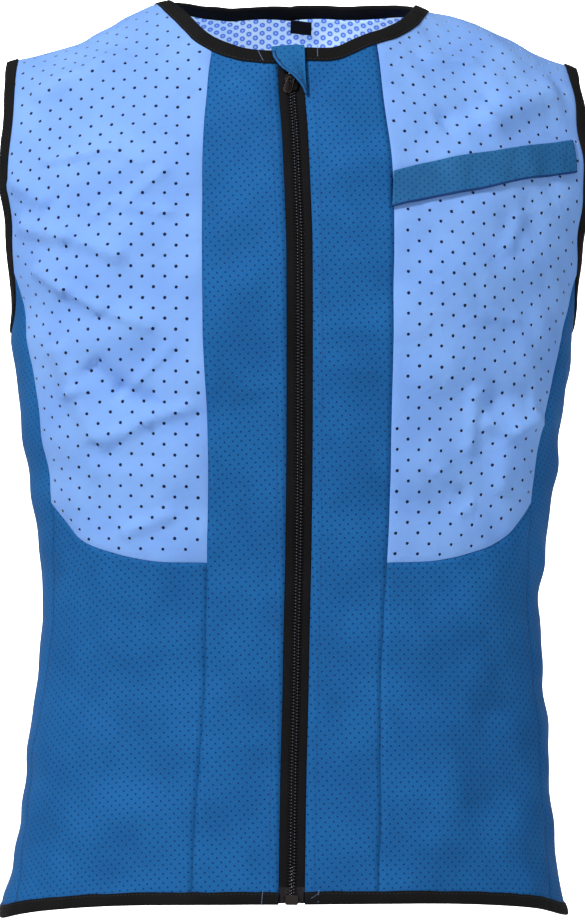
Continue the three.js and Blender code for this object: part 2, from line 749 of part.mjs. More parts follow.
// Panel between two seams, from the hem up to the lower edge of a chest or back panel
function lowPanel(hem, top, first, last) {
  const cells = top.length - 1;
  const sheet = new Sheet();
  const rows = sheet.fill(fillBetween(hem.insets, top, first, last));
  const hemRow = sheet.add(hem.edges);
  sheet.band(hemRow, rows[0], true);
  sheet.trim([hemRow[0], ...rows.map((row) => row[0])]);
  sheet.trim([hemRow[cells], ...rows.map((row) => row[cells])]);
  sheet.trim(rows[rows.length - 1]);
  return { sheet, hem };
}

function frontLowerPanel(side) {
  const { seam, flank } = runs[side.name];
  const cells = grid.neck + grid.shoulder;
  const top = range(cells, (s) => chestHem(side, s));
  return lowPanel(hemRun(seam, flank, cells), top, lowRun(seam, top[0][1]),
    lowRun(flank, chestHemEnd));
}

function sidePanel(side) {
  const { underArm, flank, flankIn } = runs[side.name];
  const rear = (climb) => [side.sign * 180 - flank(climb)[0], climb];
  const hem = hemRun(flank, rear, grid.side);
  const upTo = (seam) => [...lowRun(seam, chestHemEnd),
    ...evenly(seam, chestHemEnd, flankIn, grid.flank).slice(1)];
  const sheet = new Sheet();
  const rows = sheet.fill(fillBetween(hem.insets, underArm.insets, upTo(flank), upTo(rear)));
  const hemRow = sheet.add(hem.edges);
  const armRow = sheet.add(underArm.edges);
  sheet.band(hemRow, rows[0], true);
  sheet.band(rows[rows.length - 1], armRow);
  const all = [hemRow, ...rows, armRow];
  sheet.trim(all.map((row) => row[0]));
  sheet.trim(all.map((row) => row[row.length - 1]));
  return { sheet, hem };
}

// Side seams of the back, by their turn on the back
const backSeam = (side) => (climb) => [180 - runs[side.name].flank(climb)[0], climb];
const backSeams = [backSeam(sides[1]), backSeam(sides[0])];
const backCells = 2 * grid.shoulder + grid.backNeck;
const backHem = range(backCells, (s) =>
  [THREE.MathUtils.lerp(...backSeams.map((seam) => seam(chestHemEnd)[0]), s), chestHemEnd]);

function backPanel() {
  const { right, left } = runs;
  const top = [...reversed(left.shoulder), ...left.backNeck.insets.slice(1),
    ...reversed(right.backNeck.insets).slice(1), ...right.shoulder.slice(1)].map(toBack);
  const edgeOf = (run, seam) => [...evenly(seam, chestHemEnd, run.flankIn, grid.flank),
    ...reversed(run.backArm.insets).slice(1).map(toBack)];
  const sheet = new Sheet();
  const rows = sheet.fill(fillBetween(backHem, top, edgeOf(left, backSeams[0]),
    edgeOf(right, backSeams[1])));
  const topRow = rows[rows.length - 1];
  const firstRow = rows.map((row) => row[0]);
  const lastRow = rows.map((row) => row[backCells]);
  const neckRow = sheet.add([...left.backNeck.edges,
    ...reversed(right.backNeck.edges).slice(1)].map(toBack));
  const half = grid.backNeck / 2;
  const underNeck = topRow.slice(grid.shoulder, grid.shoulder + grid.backNeck + 1);
  sheet.band(underNeck.slice(0, half + 1), neckRow.slice(0, half + 1));
  sheet.band(underNeck.slice(half), neckRow.slice(half), true);
  const leftArm = sheet.add(reversed(left.backArm.edges).map(toBack));
  const rightArm = sheet.add(reversed(right.backArm.edges).map(toBack));
  sheet.band(firstRow.slice(grid.flank), leftArm, true);
  sheet.band(rightArm, lastRow.slice(grid.flank));
  sheet.trim(rows[0]);
  sheet.trim([...firstRow.slice(0, grid.flank + 1), leftArm[0]]);
  sheet.trim([...lastRow.slice(0, grid.flank + 1), rightArm[0]]);
  sheet.trim([leftArm[grid.arm], ...topRow.slice(0, grid.shoulder + 1), neckRow[0]]);
  sheet.trim([neckRow[grid.backNeck], ...topRow.slice(-grid.shoulder - 1), rightArm[grid.arm]]);
  return { sheet, rows };
}

function backLowerPanel() {
  const hem = hemRun(...backSeams, backCells);
  return lowPanel(hem, backHem, ...backSeams.map((seam) => lowRun(seam, chestHemEnd)));
}

// Net lining inside the back, from the neck down to a straight edge between the armholes
function backLining(back) {
  const sheet = new Sheet();
  const rows = back.rows.slice(-liningRows - 1).map((row) => row.slice(1, backCells));
  const own = rows.map((row) => sheet.add(row.map((id) => {
    const { turn, climb } = back.sheet.spots[id];
    return [turn, climb];
  })));
  for (let j = 0; j < own.length - 1; j += 1) sheet.band(own[j], own[j + 1]);
  sheet.trim(own[own.length - 1], seamGap);
  return sheet.solid(liningWall, -(clothWall / 2 + foldGap + liningWall / 2));
}

// Binding folded over an edge: a cover outside, a fold round the edge and a cover inside
function binding(run, ring) {
  const inner = clothWall / 2 + foldGap;
  const outer = inner + bindingWall;
  const sections = run.edges.map((place, i) => {
    const edge = spot(...place);
    const inset = spot(...run.insets[i]);
    const out = edge.point.clone().sub(inset.point).normalize();
    const at = (from, side, past) =>
      from.point.clone().addScaledVector(from.normal, side).addScaledVector(out, past);
    return [
      at(inset, outer, 0), at(edge, outer, 0), at(edge, outer / 2, foldGap + bindingWall),
      at(edge, -outer / 2, foldGap + bindingWall), at(edge, -outer, 0), at(inset, -outer, 0),
      at(inset, -inner, 0), at(edge, -inner, foldGap), at(edge, inner, foldGap),
      at(inset, inner, 0),
    ];
  });
  const cap = [[0, 1, 8], [0, 8, 9], [1, 2, 8], [2, 3, 7], [2, 7, 8], [3, 4, 7], [4, 5, 6],
    [4, 6, 7]];
  const fromEdge = [4, 8];
  const slanted = (s, i) => fromEdge.includes(i) !== Boolean(run.turned[s]);
  return loft(sections, ring, cap, slanted);
}

// Runs end to end. Turned tells which stretches are gone through backwards.
function joined(...parts) {
  const whole = { edges: [], insets: [], turned: [] };
  for (const part of parts) {
    const skip = whole.edges.length ? 1 : 0;
    whole.edges.push(...part.edges.slice(skip));
    whole.insets.push(...part.insets.slice(skip));
    whole.turned.push(...(part.turned ?? part.edges.slice(1).map(() => false)));
  }
  return whole;
}

const backwards = (run) => ({
  edges: reversed(run.edges),
  insets: reversed(run.insets),
  turned: (run.turned ?? run.edges.slice(1).map(() => false)).map((turned) => !turned),
});

function armBinding(side) {
  const { frontArm, backArm, underArm } = runs[side.name];
  const loop = joined(frontArm, backArm, backwards(underArm));
  loop.edges.pop();
  loop.insets.pop();
  return binding(loop, true);
}

function neckBinding() {
  const half = ({ centreNeck, chestNeck, backNeck }) => joined(centreNeck, chestNeck, backNeck);
  return binding(joined(half(runs.right), backwards(half(runs.left))), false);
}

// Distances along the middle of the zip, from the hem up to the neck edge
const zipLine = stretch((climb) => besideZip(0, climb), 0, neckRows[0].right);
const sliderAt = zipLine.length - sliderDrop;
const boxTop = boxLength - boxOverhang;

// Axes at a distance along the zip: X across, Y up the zip, Z outward
function zipFrame(distance) {
  const climb = zipLine.valueAt(distance);
  const { point, normal } = spot(...besideZip(0, climb));
  const up = bodyPoint(...besideZip(0, climb + 0.001)).sub(point);
  const across = up.cross(normal).normalize();
  return new THREE.Matrix4().makeBasis(across, normal.clone().cross(across), normal)
    .setPosition(point);
}

function zipTape(side) {
  const step = 0.5;
  const sliderFoot = sliderAt - sliderLength / 2;
  const even = range(tapeRows, (s) => THREE.MathUtils.lerp(boxTop + step, sliderFoot, s));
  const levels = [
    ...[0, boxTop].map((at) => [at, boxHalf + seamGap]),
    ...even.map((at) => [at, chainHalf + seamGap]),
    ...[sliderFoot + step, zipLine.length - tapeDrop].map((at) => [at, postSide]),
  ];
  const sheet = new Sheet();
  sheet.fill(levels.map(([at, inner]) => [inner, tapeHalf - seamGap].map((offset) =>
    besideZip(side.sign * offset, zipLine.valueAt(at)))));
  return sheet.solid(tapeWall);
}

// Closed chain of teeth, as one bar with sloping sides
function zipChain() {
  const profile = [[-chainHalf, 0], [-chainCrest, chainThick / 2], [chainCrest, chainThick / 2],
    [chainHalf, 0], [chainCrest, -chainThick / 2], [-chainCrest, -chainThick / 2]];
  const ends = [boxTop + seamGap, sliderAt - sliderLength / 2 - seamGap];
  const sections = range(tapeRows, (s) => {
    const frame = zipFrame(THREE.MathUtils.lerp(...ends, s));
    return profile.map(([x, z]) => new THREE.Vector3(x, 0, z).applyMatrix4(frame));
  });
  return loft(sections, false, [[0, 1, 2], [0, 2, 3], [0, 3, 4], [0, 4, 5]]);
}

// Outline with rounded corners. Each corner is x, y and how far the rounding reaches.
function outline(corners) {
  const shape = new THREE.Shape();
  const at = (i) => new THREE.Vector2(...corners.at(i % corners.length));
  corners.forEach(([x, y, round], i) => {
    const here = new THREE.Vector2(x, y);
    const from = at(i - 1).sub(here).setLength(round).add(here);
    const to = at(i + 1).sub(here).setLength(round).add(here);
    if (i === 0) shape.moveTo(from.x, from.y);
    else shape.lineTo(from.x, from.y);
    if (round > 0) shape.quadraticCurveTo(x, y, to.x, to.y);
  });
  shape.closePath();
  return shape;
}

// Plate from an outline, between two heights
function plate(shape, from, to) {
  const settings = { depth: to - from, bevelEnabled: false, curveSegments: 3 };
  return new THREE.ExtrudeGeometry(shape, settings).translate(0, 0, from);
}

function toSolid(geometry) {
  geometry.deleteAttribute('uv');
  geometry.deleteAttribute('normal');
  const merged = mergeVertices(geometry, 1e-4);
  return new wasm.Manifold(new wasm.Mesh({
    numProp: 3,
    vertProperties: new Float32Array(merged.attributes.position.array),
    triVerts: new Uint32Array(merged.index.array),
  }));
}

function union(geometries) {
  const { vertProperties, triVerts } = wasm.Manifold.union(geometries.map(toSolid)).getMesh();
  return bufferOf(Array.from(vertProperties), Array.from(triVerts));
}

function zipSlider() {
  const half = sliderLength / 2;
  const bore = sliderBore / 2;
  const top = bore + sliderPlate;
  const shoulder = half - 3.2;
  const face = outline([[-sliderHalfFoot, -half, 2.4], [sliderHalfFoot, -half, 2.4],
    [sliderHalfTop, shoulder, 1.6], [3.2, half, 1.4], [-3.2, half, 1.4],
    [-sliderHalfTop, shoulder, 1.6]]);
  const low = -half + 2;
  const flange = (sign) => outline([[sign * sliderHalfFoot, low, 0],
    [sign * sliderHalfTop, shoulder - 0.6, 0],
    [sign * (sliderHalfTop - flangeWall), shoulder - 0.6, 0],
    [sign * (sliderHalfFoot - flangeWall), low, 0]]);
  const post = outline([[-postWidth / 2, postFrom, 0.5], [postWidth / 2, postFrom, 0.5],
    [postWidth / 2, postTo, 0], [-postWidth / 2, postTo, 0]]);
  const crown = top + bridgeRoom + bridgeBar;
  const arch = outline([[bridgeFrom, top - join, 0], [bridgeFrom + bridgeBar, top - join, 0],
    [bridgeFrom + bridgeBar, top + bridgeRoom, 0.3], [bridgeTo - bridgeBar, top + bridgeRoom, 0.3],
    [bridgeTo - bridgeBar, top - join, 0], [bridgeTo, top - join, 0], [bridgeTo, crown, 1.1],
    [bridgeFrom, crown, 1.1]]);
  const bridge = plate(arch, -bridgeWidth / 2, bridgeWidth / 2);
  bridge.applyMatrix4(new THREE.Matrix4().set(0, 0, 1, 0, 1, 0, 0, 0, 0, 1, 0, 0, 0, 0, 0, 1));
  return union([
    plate(face, bore, top),
    plate(face, -top, -bore),
    ...sides.map(({ sign }) => plate(flange(sign), bore - flangeDrop, bore + join)),
    ...sides.map(({ sign }) => plate(flange(sign), -bore - join, flangeDrop - bore)),
    plate(post, -bore - join, bore + join),
    bridge,
  ]).applyMatrix4(zipFrame(sliderAt));
}

// The puller hangs on its pin, which crosses the room under the bridge
function zipPuller() {
  const pin = pullerWall / 2;
  const face = outline([[-pullerHalfPin, pin, 0.6], [-pullerHalfPin, -pullerEye - 1, 1],
    [-pullerHalfEnd, -pullerLength + 3.4, 1.6], [-pullerHalfEnd + 0.9, -pullerLength, 1.8],
    [pullerHalfEnd - 0.9, -pullerLength, 1.8], [pullerHalfEnd, -pullerLength + 3.4, 1.6],
    [pullerHalfPin, -pullerEye - 1, 1], [pullerHalfPin, pin, 0.6]]);
  face.holes.push(outline([[-pullerEyeHalf, -pin, 0], [pullerEyeHalf, -pin, 0],
    [pullerEyeHalf, -pullerEye, 0.4], [-pullerEyeHalf, -pullerEye, 0.4]]));
  const pinHeight = sliderBore / 2 + sliderPlate + bridgeRoom / 2;
  return union([plate(face, -pin, pin)]).rotateZ(radians(pullerLean))
    .translate(0, bridgeFrom + bridgeBar + pinRise, pinHeight).applyMatrix4(zipFrame(sliderAt));
}

function zipBox() {
  const face = outline([[-boxHalf, 0, boxRound], [boxHalf, 0, boxRound],
    [boxHalf, boxLength, boxRound], [-boxHalf, boxLength, boxRound]]);
  return union([plate(face, -boxThick / 2, boxThick / 2)]).translate(0, -boxOverhang, 0)
    .applyMatrix4(zipFrame(0));
}

// Mesh guard over the top of the zip: a pointed leg outside, a fold over the neck edge and
// a short leg inside
function zipGuard() {
  const points = [];
  const normals = [];
  const rows = [];
  const addRow = ({ drop, from, to }, make) => {
    const climb = zipLine.valueAt(zipLine.length - drop);
    rows.push(range(guardCells, (s) => {
      const place = spot(turnAcross(THREE.MathUtils.lerp(from, to, s), climb), climb);
      const up = bodyPoint(place.turn, climb + 0.001).sub(place.point).normalize();
      const { out, rise, facing } = make(s);
      points.push(place.point.addScaledVector(place.normal, out).addScaledVector(up, rise));
      normals.push(place.normal.clone().multiplyScalar(facing.out).addScaledVector(up, facing.up));
      return points.length - 1;
    }));
  };
  const outside = { out: 1, up: 0 };
  for (const row of [...guardRows].reverse()) {
    addRow(row, (s) => {
      const lowered = smoothStep((s - 0.4) / 0.6);
      return { out: THREE.MathUtils.lerp(row.rise, row.foot, lowered), rise: 0, facing: outside };
    });
  }
  const [top] = guardRows;
  for (const turn of [45, 90, 135]) {
    const facing = { out: Math.cos(radians(turn)), up: Math.sin(radians(turn)) };
    addRow(top, () => ({ out: top.rise * facing.out, rise: guardLift * facing.up, facing }));
  }
  for (const drop of [top.drop, guardInside / 2, guardInside]) {
    addRow({ ...top, drop }, () => ({ out: -top.rise, rise: 0, facing: { out: -1, up: 0 } }));
  }
  const cells = [];
  for (let j = 0; j < rows.length - 1; j += 1) {
    for (let i = 0; i < guardCells; i += 1) {
      cells.push([rows[j][i], rows[j][i + 1], rows[j + 1][i + 1], rows[j + 1][i]]);
    }
  }
  return thicken(points, normals, cells, meshWall, 0);
}

// Wavy mesh strip on the chest
function chestStrip() {
  const points = [];
  const normals = [];
  const edges = [stripRows[0].turn, stripRows[stripRows.length - 1].turn];
  const heights = range(3, (s) => s);
  const rows = range(stripCells, (s) => {
    const turn = THREE.MathUtils.lerp(...edges, s);
    const wave = (1 - Math.cos(2 * Math.PI * stripWaves * s)) / 2;
    const stand = clothWall / 2 + stripStand + meshWall / 2 + stripWave * wave;
    return heights.map((h) => {
      const low = tableValue(stripRows, 'turn', turn, 'low');
      const high = tableValue(stripRows, 'turn', turn, 'high');
      const { point, normal } = spot(turn, THREE.MathUtils.lerp(low, high, h));
      points.push(point.addScaledVector(normal, stand));
      normals.push(normal);
      return points.length - 1;
    });
  });
  const cells = [];
  for (let j = 0; j < rows.length - 1; j += 1) {
    for (let i = 0; i < heights.length - 1; i += 1) {
      cells.push([rows[j][i], rows[j][i + 1], rows[j + 1][i + 1], rows[j + 1][i]]);
    }
  }
  return thicken(points, normals, cells, meshWall, 0);
}

// Bare label inside the back, hanging from the neck binding
function neckLabel() {
  const top = 2 - neckRows[neckRows.length - 1].right;
  const { valueAt } = stretch((fall) => [180, top - fall], 0, 0.2);
  const sheet = new Sheet();
  sheet.fill(range(3, (s) => {
    const climb = top - valueAt(bindingWidth + seamGap + labelDrop * (1 - s));
    return range(4, (u) => {
      const x = labelShift + labelWidth * (0.5 - u);
      return [180 - turnAcross(x, climb), climb];
    });
  }));
  const lining = clothWall / 2 + foldGap + liningWall;
  return sheet.solid(labelWall, -(lining + labelRoom + labelWall / 2));
}

const meshBlue = { color: 0x2470b4, roughness: 0.8, metalness: 0 };
const paleBlue = { color: 0x8fb8f8, roughness: 0.75, metalness: 0 };
const black = { color: 0x17181b, roughness: 0.7, metalness: 0 };
const netBlue = { color: 0xbfd9ff, roughness: 0.85, metalness: 0 };
const darkMetal = { color: 0x1c1d20, roughness: 0.4, metalness: 0.6 };
const blackPlastic = { color: 0x141416, roughness: 0.5, metalness: 0 };
const group = new THREE.Group();

function addPiece(name, geometry, look) {
  const mesh = new THREE.Mesh(geometry, new THREE.MeshStandardMaterial(look));
  mesh.name = name;
  group.add(mesh);
}

const hemParts = [];
for (const side of sides) {
  const centre = centrePanel(side);
  const chest = chestPanel(side);
  const lower = frontLowerPanel(side);
  const flank = sidePanel(side);
  addPiece(`front_${side.name}_centre_panel`, centre.sheet.solid(meshWall), meshBlue);
  addPiece(`front_${side.name}_chest_panel`, chest.sheet.solid(clothWall), paleBlue);
  addPiece(`front_${side.name}_lower_panel`, lower.sheet.solid(meshWall), meshBlue);
  addPiece(`side_panel_${side.name}`, flank.sheet.solid(meshWall), meshBlue);
  addPiece(`armhole_binding_${side.name}`, armBinding(side), black);
  hemParts.push(joined(centre.hem, lower.hem, flank.hem));
}
const back = backPanel();
const backLower = backLowerPanel();
addPiece('back_upper_panel', back.sheet.solid(clothWall), paleBlue);
addPiece('back_lower_panel', backLower.sheet.solid(meshWall), meshBlue);
addPiece('back_lining', backLining(back), netBlue);
addPiece('neck_binding', neckBinding(), black);
const wholeHem = joined(hemParts[0], backwards(backLower.hem), backwards(hemParts[1]));
addPiece('hem_binding', binding(wholeHem, false), black);
for (const side of sides) addPiece(`zip_tape_${side.name}`, zipTape(side), black);
addPiece('zip_chain', zipChain(), blackPlastic);
addPiece('zip_slider', zipSlider(), darkMetal);
addPiece('zip_puller', zipPuller(), darkMetal);
addPiece('zip_box', zipBox(), blackPlastic);
addPiece('zip_guard', zipGuard(), meshBlue);
addPiece('chest_strip', chestStrip(), meshBlue);
addPiece('neck_label', neckLabel(), black);

export default group;
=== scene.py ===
import math
import bmesh
import bpy
import numpy as np
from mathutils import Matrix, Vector
from mathutils.geometry import delaunay_2d_cdt


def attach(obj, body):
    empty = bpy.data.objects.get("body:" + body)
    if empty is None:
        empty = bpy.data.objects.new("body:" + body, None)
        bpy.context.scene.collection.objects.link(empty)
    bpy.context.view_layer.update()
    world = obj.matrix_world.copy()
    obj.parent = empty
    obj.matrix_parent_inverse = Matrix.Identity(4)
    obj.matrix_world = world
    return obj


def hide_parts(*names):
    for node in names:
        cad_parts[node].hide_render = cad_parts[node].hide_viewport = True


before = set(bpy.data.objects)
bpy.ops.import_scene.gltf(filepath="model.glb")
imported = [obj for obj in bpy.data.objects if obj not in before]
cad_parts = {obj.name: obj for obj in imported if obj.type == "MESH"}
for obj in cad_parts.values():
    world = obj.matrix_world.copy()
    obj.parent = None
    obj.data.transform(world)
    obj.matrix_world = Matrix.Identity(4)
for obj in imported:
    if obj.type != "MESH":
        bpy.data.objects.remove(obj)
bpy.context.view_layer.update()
print("frame loaded")

# Cooling vest as it is worn. Sizes below are in millimetres, meshes are in metres.
millimetre = 0.001

# Camera, light, floor
cameraSet = {"distance": 2.6, "height": -0.3526, "turn": 2.4, "lens": 130.43}
cameraTurn = math.radians(cameraSet["turn"])
cameraData = bpy.data.cameras.new("camera")
cameraData.lens = cameraSet["lens"]
cameraData.sensor_width = 36
camera = bpy.data.objects.new("camera", cameraData)
bpy.context.collection.objects.link(camera)
camera.location = (-cameraSet["distance"] * math.sin(cameraTurn),
                   -cameraSet["distance"] * math.cos(cameraTurn), cameraSet["height"])
camera.rotation_euler = (math.pi / 2, 0, -cameraTurn)
bpy.context.scene.camera = camera

lights = {
    "key_light": {"place": (-2.0, -2.2, 2.2), "power": 124, "size": 0.8, "colour": (1.0, 0.93, 0.9)},
    "fill_light": {"place": (1.9, -2.4, 0.0), "power": 19, "size": 2.0},
    "backdrop_light": {"place": (0.0, 5.8, 1.2), "power": 420, "size": 3.6, "aim": (0, 8.4, -0.8)},
}
worldStrength = 0.29


def areaLight(name, place, power, size, aim=(0, 0, -0.3), colour=(1, 1, 1)):
    data = bpy.data.lights.new(name, "AREA")
    data.color = colour
    data.energy, data.size = power, size
    lamp = bpy.data.objects.new(name, data)
    lamp.location = place
    lamp.visible_camera = False
    lamp.rotation_euler = (Vector(place) - Vector(aim)).to_track_quat("Z", "Y").to_euler()
    bpy.context.collection.objects.link(lamp)


for name, settings in lights.items():
    areaLight(name, **settings)
world = bpy.data.worlds.new("studio")
world.use_nodes = True
world.node_tree.nodes["Background"].inputs["Color"].default_value = (1, 1, 1, 1)
world.node_tree.nodes["Background"].inputs["Strength"].default_value = worldStrength
bpy.context.scene.world = world
bpy.context.scene.view_settings.view_transform = "Standard"

# The vest's form
def table(names, *rows):  # a table by its named columns
    return {name: np.array([row[i] for row in rows], float) for i, name in enumerate(names.split())}


vest = {
    "bodyLength": 682, "chestHalf": 217.5, "chestFront": 127, "chestBack": 118, "sideDip": 24,
    "neckHalf": 96, "shoulderHalf": 98, "shoulderSlope": 21.2, "shoulderCrown": 30, "armFlare": 25,
    "shoulderRound": 2.1, "pitClimb": 0.532, "flareTurn": 40,
    "armBottom": 0.54, "armReach": 36, "armSquare": 2.9, "armSeamClimb": 0.6, "shoulderSeam": 1.03,
    "trunk": table("rise half front back square lean",
                   (0.00, 1.012, 0.976, 0.966, 2.40, -0.027), (0.07, 0.971, 0.937, 0.898, 2.45, -0.023),
                   (0.14, 0.930, 0.906, 0.839, 2.50, -0.019), (0.22, 0.902, 0.882, 0.788, 2.55, -0.012),
                   (0.29, 0.895, 0.882, 0.763, 2.60, -0.008), (0.37, 0.901, 0.898, 0.797, 2.65, -0.003),
                   (0.48, 0.942, 0.945, 0.890, 2.70, 0.000), (0.62, 1.000, 1.000, 1.000, 2.70, 0.000)),
    "sideSeam": table("climb right left",
                      (0.000, 64.5, 62.0), (0.050, 69.5, 64.0), (0.130, 71.5, 64.5), (0.200, 67.6, 63.4),
                      (0.310, 63.5, 59.8), (0.375, 58.6, 54.8), (0.430, 58.8, 53.6), (0.520, 60.9, 59.2),
                      (0.600, 65.4, 65.4)),
    "centreSeam": table("climb right left",
                        (0.00, 19.1, 16.7), (0.10, 19.8, 18.2), (0.19, 19.6, 18.5), (0.32, 19.5, 19.2),
                        (0.43, 18.5, 18.6), (0.56, 18.6, 18.1), (0.66, 17.4, 17.0), (0.74, 16.2, 15.1),
                        (0.80, 15.0, 14.3)),
    "chestHem": table("share climb", (0.00, 0.318), (0.25, 0.320), (0.50, 0.329), (0.70, 0.341),
                      (0.85, 0.358), (1.00, 0.375)),
    "neck": table("around right left",
                  (0, 0.779, 0.780), (15, 0.781, 0.786), (30, 0.797, 0.812), (45, 0.826, 0.838),
                  (60, 0.879, 0.874), (75, 0.937, 0.932), (90, 0.998, 0.996), (110, 1.022, 1.022),
                  (135, 1.072, 1.072), (155, 1.106, 1.106), (180, 1.126, 1.126)),
    "zip": table("climb across", (0.00, 0), (0.60, 0), (0.64, -1.0), (0.70, -3.0), (0.72, -4.1),
                 (0.74, -4.8), (0.80, -5.0)),
    "folds": table("across0 down0 across1 down1 breadth height",
                   (-0.84, 0.09, -0.58, 0.064, 0.055, 2.4), (-0.84, 0.185, -0.45, 0.18, 0.05, 1.8),
                   (-0.82, 0.3, -0.55, 0.36, 0.045, 2.4), (-0.77, 0.47, -0.74, 0.62, 0.045, 2.0),
                   (0.77, 0.44, 0.76, 0.62, 0.04, 2.6), (0.52, 0.03, 0.62, 0.1, 0.06, -1.8),
                   (-0.2, 0.9, -0.17, 0.985, 0.03, 1.4), (-0.62, 0.72, -0.5, 0.93, 0.05, 1.6),
                   (0.6, 0.74, 0.52, 0.94, 0.05, 1.6)),
}


def tableValue(rows, key, at, column):  # smooth curve through the rows
    x, y = rows[key], rows[column]
    at = np.asarray(at, float)
    slope = np.empty_like(y)
    slope[1:-1] = (y[2:] - y[:-2]) / (x[2:] - x[:-2])
    slope[0], slope[-1] = (y[1] - y[0]) / (x[1] - x[0]), (y[-1] - y[-2]) / (x[-1] - x[-2])
    i = np.clip(np.searchsorted(x, at, side="left") - 1, 0, len(x) - 2)
    span = x[i + 1] - x[i]
    s = (at - x[i]) / span
    return ((2 * s**3 - 3 * s**2 + 1) * y[i] + (s**3 - 2 * s**2 + s) * span * slope[i]
            + (3 * s**2 - 2 * s**3) * y[i + 1] + (s**3 - s**2) * span * slope[i + 1])


def smoothStep(x):
    s = np.clip(x, 0, 1)
    return s * s * (3 - 2 * s)


def ovalReach(c, s, square):
    return (np.abs(c) ** square + np.abs(s) ** square) ** (-1 / square)


def shoulderLine(x):
    fall, crown = math.tan(math.radians(vest["shoulderSlope"])), vest["shoulderCrown"]
    return fall * (math.hypot(vest["shoulderHalf"], crown) - np.hypot(x, crown))


def ridges(rows, x, z, unit, fade=False):  # rounded ridges along straight lines of the front
    wide, high = vest["chestHalf"], vest["bodyLength"]
    total = np.zeros(np.broadcast(x, z).shape)
    for a0, d0, a1, d1, breadth, height in zip(*rows.values()):
        ax, az, bx, bz = a0 * wide, -d0 * high, (a1 - a0) * wide, -(d1 - d0) * high
        s = ((x - ax) * bx + (z - az) * bz) / (bx * bx + bz * bz)
        near = np.clip(s, 0, 1)
        off = np.hypot(x - ax - near * bx, z - az - near * bz)
        ends = smoothStep(np.minimum(s, 1 - s) / 0.2 + 0.6) if fade else 1
        total = total + height * np.exp(-0.5 * (off / (breadth * unit)) ** 2) * ends
    return total


def halfWidthAt(climb):
    trunk, pit = vest["trunk"], vest["pitClimb"]
    low = tableValue(trunk, "rise", trunk["rise"][-1] * climb / pit, "half")
    lift = 90 * (climb - pit) / (1 - pit)
    return np.where(climb <= pit, vest["chestHalf"] * low,
                    vest["chestHalf"] + vest["armFlare"] * smoothStep(lift / vest["flareTurn"]))


def bodyPoint(turn, climb):  # middle of the cloth at a turn round the body and a climb from the hem
    turn, climb = np.broadcast_arrays(np.asarray(turn, float), np.asarray(climb, float))
    past = climb > 1
    turn, climb = np.where(past, 180 - turn, turn), np.where(past, 2 - climb, climb)
    c, s = np.cos(np.radians(turn)), np.sin(np.radians(turn))
    trunk, pit = vest["trunk"], vest["pitClimb"]
    pitRise = trunk["rise"][-1]
    low = np.minimum(climb / pit, 1)
    square, front, back, lean = (tableValue(trunk, "rise", pitRise * low, k)
                                 for k in ("square", "front", "back", "lean"))
    reach = ovalReach(c, s, square)
    depth = np.where(c > 0, vest["chestFront"] * front, vest["chestBack"] * back)
    x = halfWidthAt(climb) * s * reach
    y = -depth * c * reach
    z = -vest["bodyLength"] * (1 - pitRise * low) - vest["sideDip"] * s**4 * (1 - low) ** 2
    lift = np.radians(90 * np.clip((climb - pit) / (1 - pit), 0, 1))
    swell = ovalReach(np.cos(lift), np.sin(lift), vest["shoulderRound"])
    y = np.where(climb > pit, y * np.cos(lift) * swell, y)
    z = np.where(climb > pit, z + (shoulderLine(x) - z) * np.sin(lift) * swell, z)
    x = x + vest["chestHalf"] * lean
    fold = np.where(c > 0, ridges(vest["folds"], x, z, vest["chestHalf"]) * smoothStep(c * 4), 0)
    out = np.hypot(s, c) * reach
    return np.stack([x + fold * s * reach / out, y - fold * c * reach / out, z], axis=-1)


def unit(vectors):
    return vectors / np.linalg.norm(vectors, axis=-1, keepdims=True)


def bodyAt(places):  # places hold turn and climb
    return bodyPoint(places[..., 0], places[..., 1])


def normalAt(places):
    turn, climb = places[..., 0], places[..., 1]
    around = bodyPoint(turn + 0.2, climb) - bodyPoint(turn - 0.2, climb)
    rise = bodyPoint(turn, climb + 0.001) - bodyPoint(turn, climb - 0.001)
    return unit(np.cross(around, rise))


def walkAlong(points):  # distance from the first point to each point
    return np.concatenate([[0], np.cumsum(np.linalg.norm(np.diff(points, axis=0), axis=1))])


